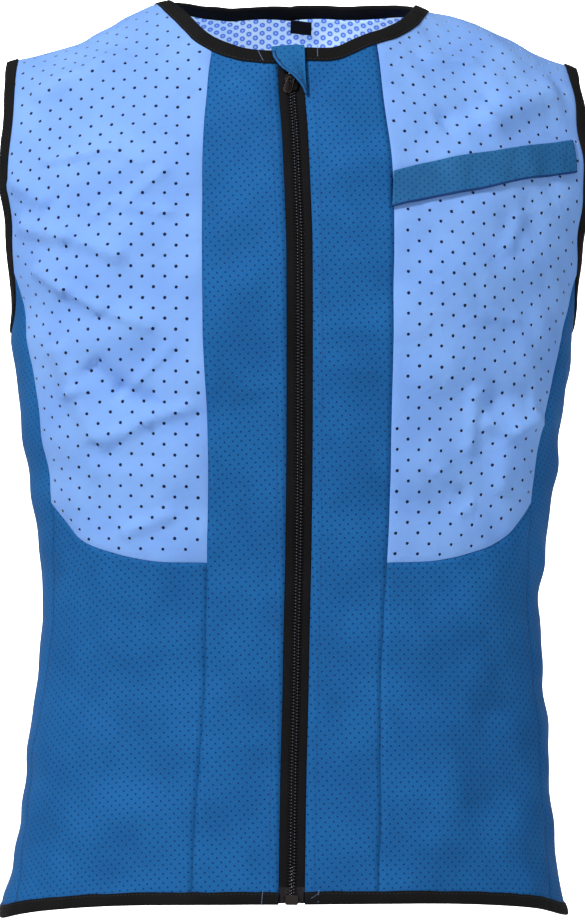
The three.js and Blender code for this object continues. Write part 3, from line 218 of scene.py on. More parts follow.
# Small wrinkles of the cloth: a few waves, and the creases of the front
wrinkleSet = {"waves": 11, "longest": 150, "shortest": 22, "slope": 0.05, "seed": 5, "lean": 0.35,
              "zipCalm": 12, "calmOver": 26, "deep": 4.6, "frontOver": 30}
creases = table(
    "across0 down0 across1 down1 breadth height",
    (-0.905, 0.306, -0.794, 0.332, 3.5, 0.8), (-0.802, 0.329, -0.673, 0.352, 3.5, 0.8),
    (-0.685, 0.351, -0.502, 0.372, 3, 0.6), (-0.880, 0.188, -0.768, 0.182, 2.6, 0.6),
    (-0.776, 0.183, -0.617, 0.176, 2.6, 0.7), (-0.622, 0.179, -0.528, 0.195, 2.6, 0.5),
    (-0.965, 0.258, -0.785, 0.273, 5, 1.1), (-0.802, 0.270, -0.600, 0.296, 4.5, 1),
    (-0.988, 0.206, -0.867, 0.234, 5, 0.9), (-0.828, 0.391, -0.764, 0.446, 6, 0.9),
    (-0.771, 0.440, -0.691, 0.495, 6, 1), (-0.685, 0.499, -0.510, 0.472, 4, 0.9),
    (-0.528, 0.474, -0.359, 0.458, 3.6, 0.8), (-0.716, 0.412, -0.622, 0.444, 7, -1.1),
    (-0.634, 0.442, -0.502, 0.454, 6, -1), (-0.570, 0.436, -0.430, 0.391, 2.2, 0.45),
    (-0.600, 0.240, -0.424, 0.248, 2.6, 0.5), (-0.713, 0.252, -0.620, 0.232, 2.4, 0.4),
    (-0.582, 0.233, -0.455, 0.200, 3, 0.4), (-0.596, 0.597, -0.428, 0.575, 4, 0.7),
    (-0.716, 0.528, -0.459, 0.533, 6, 0.4), (-0.905, 0.114, -0.605, 0.063, 6, 0.9),
    (0.448, 0.068, 0.631, 0.073, 3.2, 0.6), (0.499, 0.142, 0.674, 0.116, 7, -1),
    (0.657, 0.143, 0.906, 0.103, 8, 1.1), (0.774, 0.245, 0.726, 0.286, 4, 0.6),
    (0.472, 0.324, 0.631, 0.359, 3, 0.3), (0.623, 0.359, 0.769, 0.363, 3, 0.3),
    (0.616, 0.439, 0.590, 0.508, 3.6, 0.7), (0.643, 0.475, 0.760, 0.488, 4, 0.8),
    (0.752, 0.488, 0.838, 0.469, 4, 0.8), (0.719, 0.488, 0.709, 0.552, 5, 0.6),
    (0.465, 0.527, 0.558, 0.547, 2.6, 0.4), (0.551, 0.578, 0.614, 0.565, 2.6, 0.35),
    (0.666, 0.447, 0.803, 0.449, 8, -0.7), (0.087, 0.366, 0.266, 0.377, 3, 0.25),
    (0.087, 0.413, 0.266, 0.421, 3, 0.3), (0.073, 0.455, 0.249, 0.482, 3.4, 0.35),
    (0.087, 0.478, 0.249, 0.534, 3.4, 0.35), (-0.242, 0.248, -0.085, 0.260, 4, 0.3),
    (-0.232, 0.446, -0.090, 0.435, 4, 0.25), (-0.218, 0.101, -0.085, 0.125, 4, 0.35),
    (0.073, 0.120, 0.176, 0.095, 4, 0.4))
wrinkleRandom = np.random.RandomState(wrinkleSet["seed"])
wrinkleWaves = [(2 * math.pi / length, angle, phase, wrinkleSet["slope"] * length / (2 * math.pi))
                for length, angle, phase in zip(
                    np.geomspace(wrinkleSet["longest"], wrinkleSet["shortest"], wrinkleSet["waves"]),
                    wrinkleRandom.uniform(0, math.pi, wrinkleSet["waves"]),
                    wrinkleRandom.uniform(0, 2 * math.pi, wrinkleSet["waves"]))]


def wrinkleHeight(point):
    x, y, z = point[..., 0], point[..., 1], point[..., 2]
    across = x + wrinkleSet["lean"] * y
    waves = sum(height * np.sin(number * (across * math.cos(angle) + z * math.sin(angle)) + phase)
                for number, angle, phase, height in wrinkleWaves)
    front = smoothStep(-y / wrinkleSet["frontOver"])
    calm = smoothStep((np.abs(x) - wrinkleSet["zipCalm"]) / wrinkleSet["calmOver"])
    return (waves * (1 - front * (1 - calm))
            + wrinkleSet["deep"] * ridges(creases, x, z, 1, fade=True) * front)


def clothPoint(places, height=0.0):  # height is off the middle of the cloth
    point = bodyAt(places)
    return point + normalAt(places) * (np.asarray(height) + wrinkleHeight(point))[..., None]


# Seams and edges, as places
sideSign = {"right": -1, "left": 1}


def turnAcross(x, climb):
    upTo = np.where(climb > 1, 2 - climb, climb)
    trunk = vest["trunk"]
    low = np.minimum(upTo / vest["pitClimb"], 1)
    square = tableValue(trunk, "rise", trunk["rise"][-1] * low, "square")
    share = np.clip(np.abs(x) / halfWidthAt(upTo), 0, 1)
    return np.sign(x) * np.degrees(np.arctan2(share, (1 - share**square) ** (1 / square)))


def asPlaces(turn, climb):
    turn, climb = np.broadcast_arrays(turn, climb)
    return np.stack([turn, climb], axis=-1).astype(float)


def armEdge(side, around):
    c, s = np.cos(np.radians(around)), np.sin(np.radians(around))
    reach = ovalReach(c, s, vest["armSquare"])
    return asPlaces(sideSign[side] * (90 - vest["armReach"] * s * reach),
                    1 - c * reach * (1 - vest["armBottom"]))


def neckEdge(side, around):
    climb = tableValue(vest["neck"], "around", around, side)
    return asPlaces(turnAcross(vest["neckHalf"] * np.sin(np.radians(around)) * sideSign[side], climb), climb)


def solveAround(before):
    low, high = 0.0, 180.0
    for _ in range(40):
        middle = (low + high) / 2
        low, high = (middle, high) if before(middle) else (low, middle)
    return (low + high) / 2


def armAround(climb):
    return solveAround(lambda around: armEdge("left", around)[1] < climb)


def sideSeam(side, climb):
    wanted = armEdge(side, armAround(vest["armSeamClimb"]))[0] * sideSign[side]
    atTop = tableValue(vest["sideSeam"], "climb", vest["armSeamClimb"], side)
    mix = smoothStep((climb - vest["pitClimb"]) / (vest["armSeamClimb"] - vest["pitClimb"]))
    turn = tableValue(vest["sideSeam"], "climb", climb, side) + (wanted - atTop) * mix
    return asPlaces(sideSign[side] * turn, climb)


def onRear(side, places):  # the same places on the back
    return asPlaces(sideSign[side] * 180 - places[..., 0], places[..., 1])


def centreSeam(side, climb):
    return asPlaces(sideSign[side] * tableValue(vest["centreSeam"], "climb", climb, side), climb)


def besideZip(offset, climb):
    return asPlaces(turnAcross(tableValue(vest["zip"], "climb", climb, "across") + offset, climb), climb)


def chestHem(side, share):
    climb = tableValue(vest["chestHem"], "share", share, "climb")
    inner, outer = centreSeam(side, climb)[..., 0], sideSeam(side, climb)[..., 0]
    return asPlaces(inner + (outer - inner) * share, climb)


chestHemEnd = float(vest["chestHem"]["climb"][-1])
armSeamAround, armTopAround = armAround(vest["armSeamClimb"]), armAround(vest["shoulderSeam"])
zipSet = {"tapeHalf": 9.8, "sliderDrop": 28, "sliderLength": 13.6, "boxTop": 6.0, "tapeDrop": 2}


def neckStops(side):  # angles round the neck at the tape, the centre seam and the shoulder seam
    tape = solveAround(lambda a: abs(neckEdge(side, a)[0])
                       < abs(besideZip(sideSign[side] * zipSet["tapeHalf"], neckEdge(side, a)[1])[0]))
    seam = solveAround(lambda a: abs(neckEdge(side, a)[0]) < abs(centreSeam(side, neckEdge(side, a)[1])[0]))
    shoulder = solveAround(lambda a: neckEdge(side, a)[1] < vest["shoulderSeam"])
    return tape, seam, shoulder


stops = {side: neckStops(side) for side in sideSign}


def run(curve, start, end, count):  # places along a curve at even distances
    values = np.linspace(start, end, 240)
    length = walkAlong(bodyAt(curve(values)))
    return curve(np.interp(np.linspace(0, length[-1], count + 1), length, values))


def runLength(places):
    return float(walkAlong(bodyAt(places))[-1])


def runByStep(curve, start, end, step):
    rough = run(curve, start, end, 40)
    return run(curve, start, end, max(2, int(round(runLength(rough) / step))))


def toBack(places):  # the same places written on the back, with a climb under 1
    return asPlaces(180 - places[..., 0], 2 - places[..., 1])


def fillBetween(bottom, top, first, last):  # grid of places between four runs that share corners
    def shares(places):
        length = walkAlong(bodyAt(places))
        return length / length[-1]
    u = ((shares(bottom) + shares(top)) / 2)[None, :, None]
    v = ((shares(first) + shares(last)) / 2)[:, None, None]
    grid = ((1 - v) * bottom[None] + v * top[None] + (1 - u) * first[:, None] + u * last[:, None]
            - (1 - u) * (1 - v) * bottom[0] - u * (1 - v) * bottom[-1]
            - (1 - u) * v * top[0] - u * v * top[-1])
    grid[0], grid[-1], grid[:, 0], grid[:, -1] = bottom, top, first, last
    return grid


# Distances on the cloth: round the body and up from the hem
way = {"firstTurn": -130, "lastTurn": 250, "climbStep": 0.004}
wayTurns = np.arange(way["firstTurn"], way["lastTurn"] + 0.5)
wayClimbs = np.arange(0, 1.06, way["climbStep"])
wayPoints = bodyPoint(wayTurns[:, None], wayClimbs[None, :])
acrossWay = np.cumsum(np.linalg.norm(np.diff(wayPoints, axis=0, prepend=wayPoints[:1]), axis=2), axis=0)
upWay = np.cumsum(np.linalg.norm(np.diff(wayPoints, axis=1, prepend=wayPoints[:, :1]), axis=2), axis=1)


def clothWay(places, middle=0):  # middle is the turn where the distance across is zero
    i = np.clip(places[..., 0] - way["firstTurn"], 0, len(wayTurns) - 1.001)
    j = np.clip(places[..., 1] / way["climbStep"], 0, len(wayClimbs) - 1.001)
    i0, j0 = i.astype(int), j.astype(int)
    fi, fj = i - i0, j - j0
    across = acrossWay - acrossWay[middle - way["firstTurn"]]
    return np.stack([(1 - fi) * (1 - fj) * reach[i0, j0] + fi * (1 - fj) * reach[i0 + 1, j0]
                     + (1 - fi) * fj * reach[i0, j0 + 1] + fi * fj * reach[i0 + 1, j0 + 1]
                     for reach in (across, upWay)], axis=-1)


# Meshes
def newPiece(name, points, faces, looks, faceLooks=None, way=None):
    mesh = bpy.data.meshes.new(name)
    mesh.from_pydata((np.asarray(points) * millimetre).tolist(), [], [list(map(int, f)) for f in faces])
    for look in looks:
        mesh.materials.append(look)
    if faceLooks is not None:
        mesh.polygons.foreach_set("material_index", np.asarray(faceLooks, dtype=np.int32))
    mesh.polygons.foreach_set("use_smooth", [True] * len(mesh.polygons))
    if way is not None:
        layer = mesh.attributes.new("clothWay", "FLOAT_VECTOR", "POINT")
        layer.data.foreach_set("vector", np.pad(way, ((0, 0), (0, 1))).ravel().astype(np.float32))
    mesh.validate()
    mesh.update()
    piece = bpy.data.objects.new(name, mesh)
    bpy.context.collection.objects.link(piece)
    return piece


def sharpEdges(piece, degrees=35):  # keeps cut edges crisp under smooth shading
    piece.data.set_sharp_from_angle(angle=math.radians(degrees))


def gridFaces(rows, columns):
    corners = [(j * columns + i, (j + 1) * columns + i) for j in range(rows - 1) for i in range(columns - 1)]
    return [(a, a + 1, b + 1, b) for a, b in corners]


def facesOut(points, normals, faces):  # whether the first face looks along its normal
    a, b, c = (points[k] for k in faces[0][:3])
    return float(np.dot(np.cross(b - a, c - a), normals[faces[0][0]])) > 0


def shellPiece(name, outer, inner, normals, looks, way):  # two grids of points and the wall round them
    top = gridFaces(*outer.shape[:2])
    outer, inner, normals = (grid.reshape(-1, 3) for grid in (outer, inner, normals))
    if not facesOut(outer, normals, top):
        top = [face[::-1] for face in top]
    below = [tuple(len(outer) + k for k in face[::-1]) for face in top]
    return newPiece(name, np.concatenate([outer, inner]), top + below + borderWalls(top, len(outer)), looks,
                    way=np.concatenate([way, way]))


def sheetPiece(name, places, wall, looks, roll=0.0, heights=0.0, turnWay=0.0, middle=0):
    lift = np.zeros(places.shape[:2]) + heights
    drop = np.full(lift.shape, roll)
    drop[1:-1, 1:-1] = 0
    reach = clothWay(places, middle).reshape(-1, 2)
    c, s = math.cos(math.radians(turnWay)), math.sin(math.radians(turnWay))
    reach = np.stack([reach[:, 0] * c + reach[:, 1] * s, reach[:, 1] * c - reach[:, 0] * s], axis=1)
    return shellPiece(name, clothPoint(places, wall / 2 + lift - drop), clothPoint(places, lift - wall / 2),
                      normalAt(places), looks, reach)


def tubeFaces(first, rings, sides):  # skin and both ends of a short tube
    faces = []
    for k in range(rings - 1):
        for i in range(sides):
            a, b = first + k * sides + i, first + k * sides + (i + 1) % sides
            faces.append((a, b, b + sides, a + sides))
    faces.append(tuple(range(first, first + sides))[::-1])
    faces.append(tuple(range(first + (rings - 1) * sides, first + rings * sides)))
    return faces


def fitPiece(piece, node=None, body="vest"):
    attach(piece, body)
    if node:
        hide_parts(node)
    return piece


def borderWalls(faces, count):
    border = {}
    for face in faces:
        for a, b in zip(face, face[1:] + face[:1]):
            if (b, a) in border:
                del border[(b, a)]
            else:
                border[(a, b)] = True
    return [(b, a, count + a, count + b) for a, b in border]


# Finishes
def tint(red, green, blue):  # screen colour, 0 to 255, as a light value
    return tuple(((c / 255 + 0.055) / 1.055) ** 2.4 if c > 10 else c / 255 / 12.92
                 for c in (red, green, blue)) + (1,)


def addNode(tree, kind, inputs=None, **settings):
    node = tree.nodes.new(kind)
    for key, value in settings.items():
        setattr(node, key, value)
    for key, value in (inputs or {}).items():
        if isinstance(value, bpy.types.NodeSocket):
            tree.links.new(value, node.inputs[key])
        else:
            node.inputs[key].default_value = value
    return node


def calc(tree, operation, first, second=None):
    inputs = {0: first} if second is None else {0: first, 1: second}
    return addNode(tree, "ShaderNodeMath", inputs, operation=operation).outputs[0]


def startGroup(name, inputs, outputs):
    tree = bpy.data.node_groups.new(name, "ShaderNodeTree")
    for label, kind in inputs:
        tree.interface.new_socket(label, in_out="INPUT", socket_type=kind)
    for label in outputs:
        tree.interface.new_socket(label, in_out="OUTPUT", socket_type="NodeSocketFloat")
    return tree, tree.nodes.new("NodeGroupInput"), tree.nodes.new("NodeGroupOutput")


def dotGroup():  # two staggered sets of round dots
    floats = [(label, "NodeSocketFloat") for label in ("Across", "Up", "Radius", "Soft")]
    tree, given, made = startGroup("dot rows", [("Way", "NodeSocketVector")] + floats, ["Dots", "Distance"])
    way = addNode(tree, "ShaderNodeSeparateXYZ", {0: given.outputs["Way"]})
    distances = []
    for shift in (0.0, 0.5):
        offs = []
        for axis, pitch in (("X", "Across"), ("Y", "Up")):
            turns = calc(tree, "ADD", calc(tree, "DIVIDE", way.outputs[axis], given.outputs[pitch]), shift)
            offs.append(calc(tree, "MULTIPLY", calc(tree, "SUBTRACT", calc(tree, "FRACT", turns), 0.5),
                             given.outputs[pitch]))
        squares = [calc(tree, "MULTIPLY", off, off) for off in offs]
        distances.append(calc(tree, "SQRT", calc(tree, "ADD", squares[0], squares[1])))
    near = calc(tree, "MINIMUM", distances[0], distances[1])
    dots = addNode(tree, "ShaderNodeMapRange", {
        "Value": near, "From Min": calc(tree, "SUBTRACT", given.outputs["Radius"], given.outputs["Soft"]),
        "From Max": calc(tree, "ADD", given.outputs["Radius"], given.outputs["Soft"]),
        "To Min": 1.0, "To Max": 0.0}, interpolation_type="SMOOTHSTEP")
    tree.links.new(dots.outputs[0], made.inputs["Dots"])
    tree.links.new(near, made.inputs["Distance"])
    return tree


def weaveGroup():  # over and under of the threads, with some unevenness
    tree, given, made = startGroup(
        "cloth weave", [("Way", "NodeSocketVector"), ("Thread", "NodeSocketFloat")],
        ["Height", "Shade", "Crumple"])
    way = addNode(tree, "ShaderNodeSeparateXYZ", {0: given.outputs["Way"]})
    full = calc(tree, "DIVIDE", 2 * math.pi, given.outputs["Thread"])
    waves = [calc(tree, "SINE", calc(tree, "MULTIPLY", way.outputs[axis], full)) for axis in "XY"]
    weave = calc(tree, "MULTIPLY", waves[0], waves[1])
    slub, shade, crumple = (
        addNode(tree, "ShaderNodeTexNoise", {"Vector": given.outputs["Way"], "Scale": scale,
                                             "Detail": detail, "Distortion": bend}).outputs[0]
        for scale, detail, bend in ((0.9, 3.0, 0.0), (0.02, 4.0, 0.0), (0.04, 2.5, 0.4)))
    height = calc(tree, "ADD", calc(tree, "MULTIPLY", weave, 0.35), slub)
    for label, value in (("Height", height), ("Shade", shade), ("Crumple", crumple)):
        tree.links.new(value, made.inputs[label])
    return tree


dotRows, clothWeave = dotGroup(), weaveGroup()


def startFinish(name, roughness, gloss=0.5):
    look = bpy.data.materials.new(name)
    look.use_nodes = True
    tree = look.node_tree
    shader = tree.nodes["Principled BSDF"]
    shader.inputs["Roughness"].default_value = roughness
    shader.inputs["Specular IOR Level"].default_value = gloss
    return look, tree, shader


def wayOf(tree):
    return addNode(tree, "ShaderNodeAttribute", attribute_name="clothWay").outputs["Vector"]


def blendColours(tree, factor, first, second):
    mix = addNode(tree, "ShaderNodeMix", {0: factor, 6: first, 7: second}, data_type="RGBA")
    return mix.outputs[2]


def useGroup(tree, group, **inputs):
    return addNode(tree, "ShaderNodeGroup", inputs, node_tree=group).outputs


def bumpFrom(tree, shader, height, strength, distance):
    bump = addNode(tree, "ShaderNodeBump", {"Height": height, "Strength": strength, "Distance": distance})
    tree.links.new(bump.outputs[0], shader.inputs["Normal"])


def clothColour(tree, weave, light, dark):
    spread = addNode(tree, "ShaderNodeMapRange",
                     {"Value": weave["Shade"], "From Min": 0.35, "From Max": 0.65})
    return blendColours(tree, spread.outputs[0], dark, light)


def wovenFinish(name, light, dark, thread=0.7, roughness=0.8, strength=0.35, gloss=0.25, crumple=0.0):
    look, tree, shader = startFinish(name, roughness, gloss=gloss)
    weave = useGroup(tree, clothWeave, Way=wayOf(tree), Thread=thread)
    tree.links.new(clothColour(tree, weave, light, dark), shader.inputs["Base Color"])
    height = weave["Height"]
    if crumple:
        height = calc(tree, "ADD", height, calc(tree, "MULTIPLY", weave["Crumple"], crumple))
    bumpFrom(tree, shader, height, strength, 0.0003)
    return look


def dottedFinish(name, light, dark, dot, across, up, radius, soft, sink, ring=None, glow=0.0):
    look, tree, shader = startFinish(name, 0.8, gloss=0.2)
    wayRead = wayOf(tree)
    weave = useGroup(tree, clothWeave, Way=wayRead, Thread=0.8)
    dots = useGroup(tree, dotRows, Way=wayRead, Across=across, Up=up, Radius=radius, Soft=soft)["Dots"]
    mask = dots
    if ring:  # only the rim of each dot is coloured
        core = useGroup(tree, dotRows, Way=wayRead, Across=across, Up=up, Radius=radius * ring, Soft=soft)
        mask = calc(tree, "SUBTRACT", dots, calc(tree, "MULTIPLY", core["Dots"], 0.6))
    coloured = blendColours(tree, mask, clothColour(tree, weave, light, dark), dot)
    tree.links.new(coloured, shader.inputs["Base Color"])
    if glow:  # painted glow: an emission that stands in for light coming through the thin cloth from outside
        tree.links.new(coloured, shader.inputs["Emission Color"])
        shader.inputs["Emission Strength"].default_value = glow
    height = calc(tree, "SUBTRACT", calc(tree, "MULTIPLY", weave["Height"], 0.25),
                  calc(tree, "MULTIPLY", dots, sink))
    bumpFrom(tree, shader, height, 0.6, 0.0005)
    return look


def plainFinish(name, colour, roughness, grain=0.15, scale=900.0, gloss=0.5):
    look, tree, shader = startFinish(name, roughness, gloss)
    place = addNode(tree, "ShaderNodeTexCoord").outputs["Object"]
    noise = addNode(tree, "ShaderNodeTexNoise", {"Vector": place, "Scale": scale, "Detail": 2.0})
    darker = tuple(c * (1 - grain) for c in colour[:3]) + (1,)
    tree.links.new(blendColours(tree, noise.outputs[0], darker, colour), shader.inputs["Base Color"])
    return look


finish = {
    "pale": wovenFinish("pale_blue_cloth", tint(133, 181, 252), tint(124, 172, 248), 0.9, 0.85, 0.4,
                        crumple=15.0),
    "paleEdge": plainFinish("pale_blue_cut_edge", tint(190, 214, 250), 0.9),
    # painted shade: the floor shut under each hole is dark navy, for the shade seen down the holes
    "holeShade": plainFinish("hole_floor_painted_shade", tint(16, 30, 78), 0.95),
    "mesh": dottedFinish("mesh_blue_knit", tint(25, 104, 173), tint(19, 94, 160), tint(9, 54, 112),
                         6.3, 6.8, 0.68, 0.3, 0.9),
    "guardMesh": dottedFinish("mesh_blue_guard", tint(32, 112, 176), tint(24, 98, 160), tint(10, 56, 112),
                              6.3, 6.8, 0.6, 0.3, 0.8),
    "stripMesh": dottedFinish("mesh_blue_strip", tint(40, 108, 164), tint(32, 98, 154), tint(16, 64, 122),
                              6.3, 5.2, 0.6, 0.3, 0.7),
    "stripEdge": wovenFinish("strip_edge_blue", tint(24, 74, 138), tint(18, 62, 122), 0.8),
    # painted glow on the net, for light through the thin cloth
    "net": dottedFinish("net_pale_knit", tint(196, 226, 255), tint(174, 212, 255), tint(84, 126, 226),
                        11.0, 7.6, 2.3, 0.45, 0.5, ring=0.35, glow=0.55),
    "binding": wovenFinish("binding_black_rib", tint(23, 24, 26), tint(15, 16, 18), 0.6, 0.85, 0.6, 0.15),
    "tape": wovenFinish("zip_tape_black_weave", tint(18, 19, 22), tint(12, 12, 15), 0.9, 0.8, 0.7, 0.15),
    "tapeEnd": plainFinish("zip_tape_end_film", tint(30, 28, 31), 0.4, gloss=0.25),
    "coil": plainFinish("zip_coil_black", tint(13, 13, 15), 0.65, gloss=0.2),
    "metal": plainFinish("slider_black_paint", tint(9, 8, 8), 0.45, gloss=0.15),
    # a lighter brownish colour on the bevel faces of the slider and puller
    "metalEdge": plainFinish("slider_light_bevel_edge", tint(134, 116, 108), 0.45),
    # painted shade: dark navy on the step faces of the guard's folded hem
    "guardStepShade": plainFinish("guard_hem_step_shade", tint(10, 34, 84), 0.9),
    "plastic": plainFinish("zip_box_plastic", tint(36, 31, 29), 0.5, gloss=0.3),
    "thread": plainFinish("black_thread", tint(34, 35, 39), 0.8),
    "greyThread": plainFinish("light_grey_thread", tint(120, 126, 140), 0.8),
    "whiteThread": plainFinish("white_blue_thread", tint(118, 140, 176), 0.8),
    "blueThread": plainFinish("seam_blue_thread", tint(20, 80, 146), 0.8),
    "label": wovenFinish("label_black_satin", tint(22, 22, 26), tint(15, 15, 18), 0.5, 0.5, 0.3),
    "floor": plainFinish("studio_white", tint(250, 250, 250), 0.95, grain=0.01, scale=2.0),
}
print("finishes made")

# Panels of plain mesh cloth
panelSet = {"meshWall": 1.2, "clothWall": 1.6, "liningWall": 0.8, "cell": 5.0, "seamDrop": 0.45}


def sideCurves(side):  # boundary curves of the panels of one side, and where they meet
    tapeAt, seamAt, shoulderAt = stops[side]
    return {
        "tape": lambda climb: besideZip(sideSign[side] * zipSet["tapeHalf"], climb),
        "seam": lambda climb: centreSeam(side, climb),
        "flank": lambda climb: sideSeam(side, climb),
        "rear": lambda climb: onRear(side, sideSeam(side, climb)),
        "neck": lambda around: neckEdge(side, around),
        "arm": lambda around: armEdge(side, around),
        "chest": lambda share: chestHem(side, share),
        "tapeAt": tapeAt, "seamAt": seamAt, "shoulderAt": shoulderAt,
        "neckTape": float(neckEdge(side, tapeAt)[1]), "neckSeam": float(neckEdge(side, seamAt)[1]),
        "split": float(chestHem(side, 0.0)[1]),
    }


curves = {side: sideCurves(side) for side in sideSign}


def coonsGrid(bottomCurve, topCurve, firstCurve, lastCurve, cell):
    def longest(*pairs):
        return max(runLength(run(*pair, 30)) for pair in pairs)
    columns = max(2, int(round(longest(bottomCurve, topCurve) / cell)))
    rows = max(2, int(round(longest(firstCurve, lastCurve) / cell)))
    return fillBetween(run(*bottomCurve, columns), run(*topCurve, columns),
                       run(*firstCurve, rows), run(*lastCurve, rows))


def levelRun(fromTurn, toTurn, climb=0.0):  # a curve at one climb, with its first and last value
    return (lambda s: asPlaces(fromTurn + (toTurn - fromTurn) * s, climb), 0, 1)


def declareSheet(piece, places):
    points = bodyAt(places) * millimetre


def meshPanel(name, node, edges, turnWay=0.0, middle=0):  # edges are the bottom, top, first and last curve
    grid = coonsGrid(*edges, panelSet["cell"])
    piece = sheetPiece(name, grid, panelSet["meshWall"], [finish["mesh"]], roll=panelSet["seamDrop"],
                       turnWay=turnWay, middle=middle)
    declareSheet(fitPiece(piece, node), grid)


def underArm(side):  # the armhole's edge from the side seam on the front to the one on the back
    def curve(around):
        front = armEdge(side, np.abs(around))
        return np.where((np.asarray(around) > 0)[..., None], front, onRear(side, front))
    return curve, armSeamAround, -armSeamAround


def turnAt(place):
    return float(place[0])


for side, c in curves.items():
    tapeTurn, seamTurn, flankTurn, rearTurn = (
        turnAt(c[key](0.0)) for key in ("tape", "seam", "flank", "rear"))
    meshPanel(f"centre_panel_cloth_{side}", f"front_{side}_centre_panel",
              (levelRun(tapeTurn, seamTurn), (c["neck"], c["tapeAt"], c["seamAt"]),
               (c["tape"], 0, c["neckTape"]), (c["seam"], 0, c["neckSeam"])), turnWay=4.0)
    meshPanel(f"lower_panel_cloth_{side}", f"front_{side}_lower_panel",
              (levelRun(seamTurn, flankTurn), (c["chest"], 0, 1),
               (c["seam"], 0, c["split"]), (c["flank"], 0, chestHemEnd)), turnWay=3.0)
    meshPanel(f"side_panel_cloth_{side}", f"side_panel_{side}",
              (levelRun(flankTurn, rearTurn), underArm(side),
               (c["flank"], 0, vest["armSeamClimb"]), (c["rear"], 0, vest["armSeamClimb"])))
left, right = curves["left"], curves["right"]
backSeams = [lambda climb, flank=c["flank"]: asPlaces(180 - flank(climb)[..., 0], climb)
             for c in (left, right)]
backEnds = [turnAt(seam(0.0)) for seam in backSeams]
backSplit = levelRun(*(turnAt(seam(chestHemEnd)) for seam in backSeams), chestHemEnd)
meshPanel("back_lower_cloth", "back_lower_panel",
          (levelRun(*backEnds), backSplit, (backSeams[0], 0, chestHemEnd), (backSeams[1], 0, chestHemEnd)),
          middle=180)
print("mesh panels made")

# Perforated pale panels
perforated = {
    "holeRadius": 1.3, "ringPoints": 10, "depth": 0.75, "across": 16.95, "rowStep": 7.8,
    "tilt": {"right": -4.2, "left": 0.5}, "edgeRoom": 3.4, "boundaryStep": 4.0, "fillStep": 3.4,
    "rim": 1.2, "rimKeep": 0.9, "seed": 3, "jitter": 0.25, "margin": 20, "missMost": 0.5,
    "radiusSpread": 0.07, "fillRoom": 4.0, "holeRoom": 3.2,
}
domainScale = np.array([3.2, 760.0])  # turn and climb to nearly even millimetres


def solvePlaces(wayWanted, start, middle):  # places with the given distances on the cloth
    places = start.copy()
    for _ in range(14):
        miss = wayWanted - clothWay(places, middle)
        dTurn = clothWay(places + [0.5, 0], middle) - clothWay(places - [0.5, 0], middle)
        dClimb = (clothWay(places + [0, 0.004], middle) - clothWay(places - [0, 0.004], middle)) / 0.008
        det = dTurn[:, 0] * dClimb[:, 1] - dClimb[:, 0] * dTurn[:, 1]
        det = np.where(np.abs(det) < 1e-6, 1e-6, det)
        move = np.stack([(miss[:, 0] * dClimb[:, 1] - miss[:, 1] * dClimb[:, 0]) / det,
                         (dTurn[:, 0] * miss[:, 1] - dTurn[:, 1] * miss[:, 0]) / det], axis=-1)
        places = places + 0.8 * np.clip(move, [-12, -0.08], [12, 0.08])
        places = np.clip(places, [way["firstTurn"] + 2, 0.005], [way["lastTurn"] - 2, 1.045])
    return places, np.linalg.norm(wayWanted - clothWay(places, middle), axis=1)


def polygonSides(polygon):
    return zip(polygon, np.roll(polygon, -1, axis=0))


def insidePolygon(points, polygon):
    inside = np.zeros(len(points), bool)
    for a, b in polygonSides(polygon):
        crosses = (a[1] > points[:, 1]) != (b[1] > points[:, 1])
        with np.errstate(divide="ignore", invalid="ignore"):
            at = (b[0] - a[0]) * (points[:, 1] - a[1]) / (b[1] - a[1]) + a[0]
        inside ^= crosses & (points[:, 0] < at)
    return inside


def edgeDistance(points, polygon):
    best = np.full(len(points), 1e9)
    for a, b in polygonSides(polygon):
        ab = b - a
        s = np.clip(((points - a) @ ab) / max(ab @ ab, 1e-9), 0, 1)
        best = np.minimum(best, np.linalg.norm(points - a - s[:, None] * ab, axis=1))
    return best


def ringAround(places, radius, count):  # rings of places round each place, true circles on the cloth
    turn, climb = places[:, 0], places[:, 1]
    byTurn = (bodyPoint(turn + 0.2, climb) - bodyPoint(turn - 0.2, climb)) / 0.4
    byClimb = (bodyPoint(turn, climb + 0.001) - bodyPoint(turn, climb - 0.001)) / 0.002
    first = unit(byTurn)
    slant = (byClimb * first).sum(axis=1)
    upright = np.linalg.norm(byClimb - first * slant[:, None], axis=1)
    angles = np.linspace(0, 2 * math.pi, count, endpoint=False)
    dClimb = radius[:, None] * np.sin(angles) / upright[:, None]
    dTurn = (radius[:, None] * np.cos(angles) - dClimb * slant[:, None]) / np.linalg.norm(
        byTurn, axis=1)[:, None]
    return places[:, None, :] + np.stack([dTurn, dClimb], axis=-1)


def cutCloth(points, loops):  # triangles between closed loops of points
    edges = []
    for first, count in loops:
        edges += [(first + k, first + (k + 1) % count) for k in range(count)]
    made = delaunay_2d_cdt([Vector(p) for p in points], edges, [], 1, 1e-6)
    original = [ids[0] for ids in made[3]]
    return [tuple(original[v] for v in face) for face in made[2]]


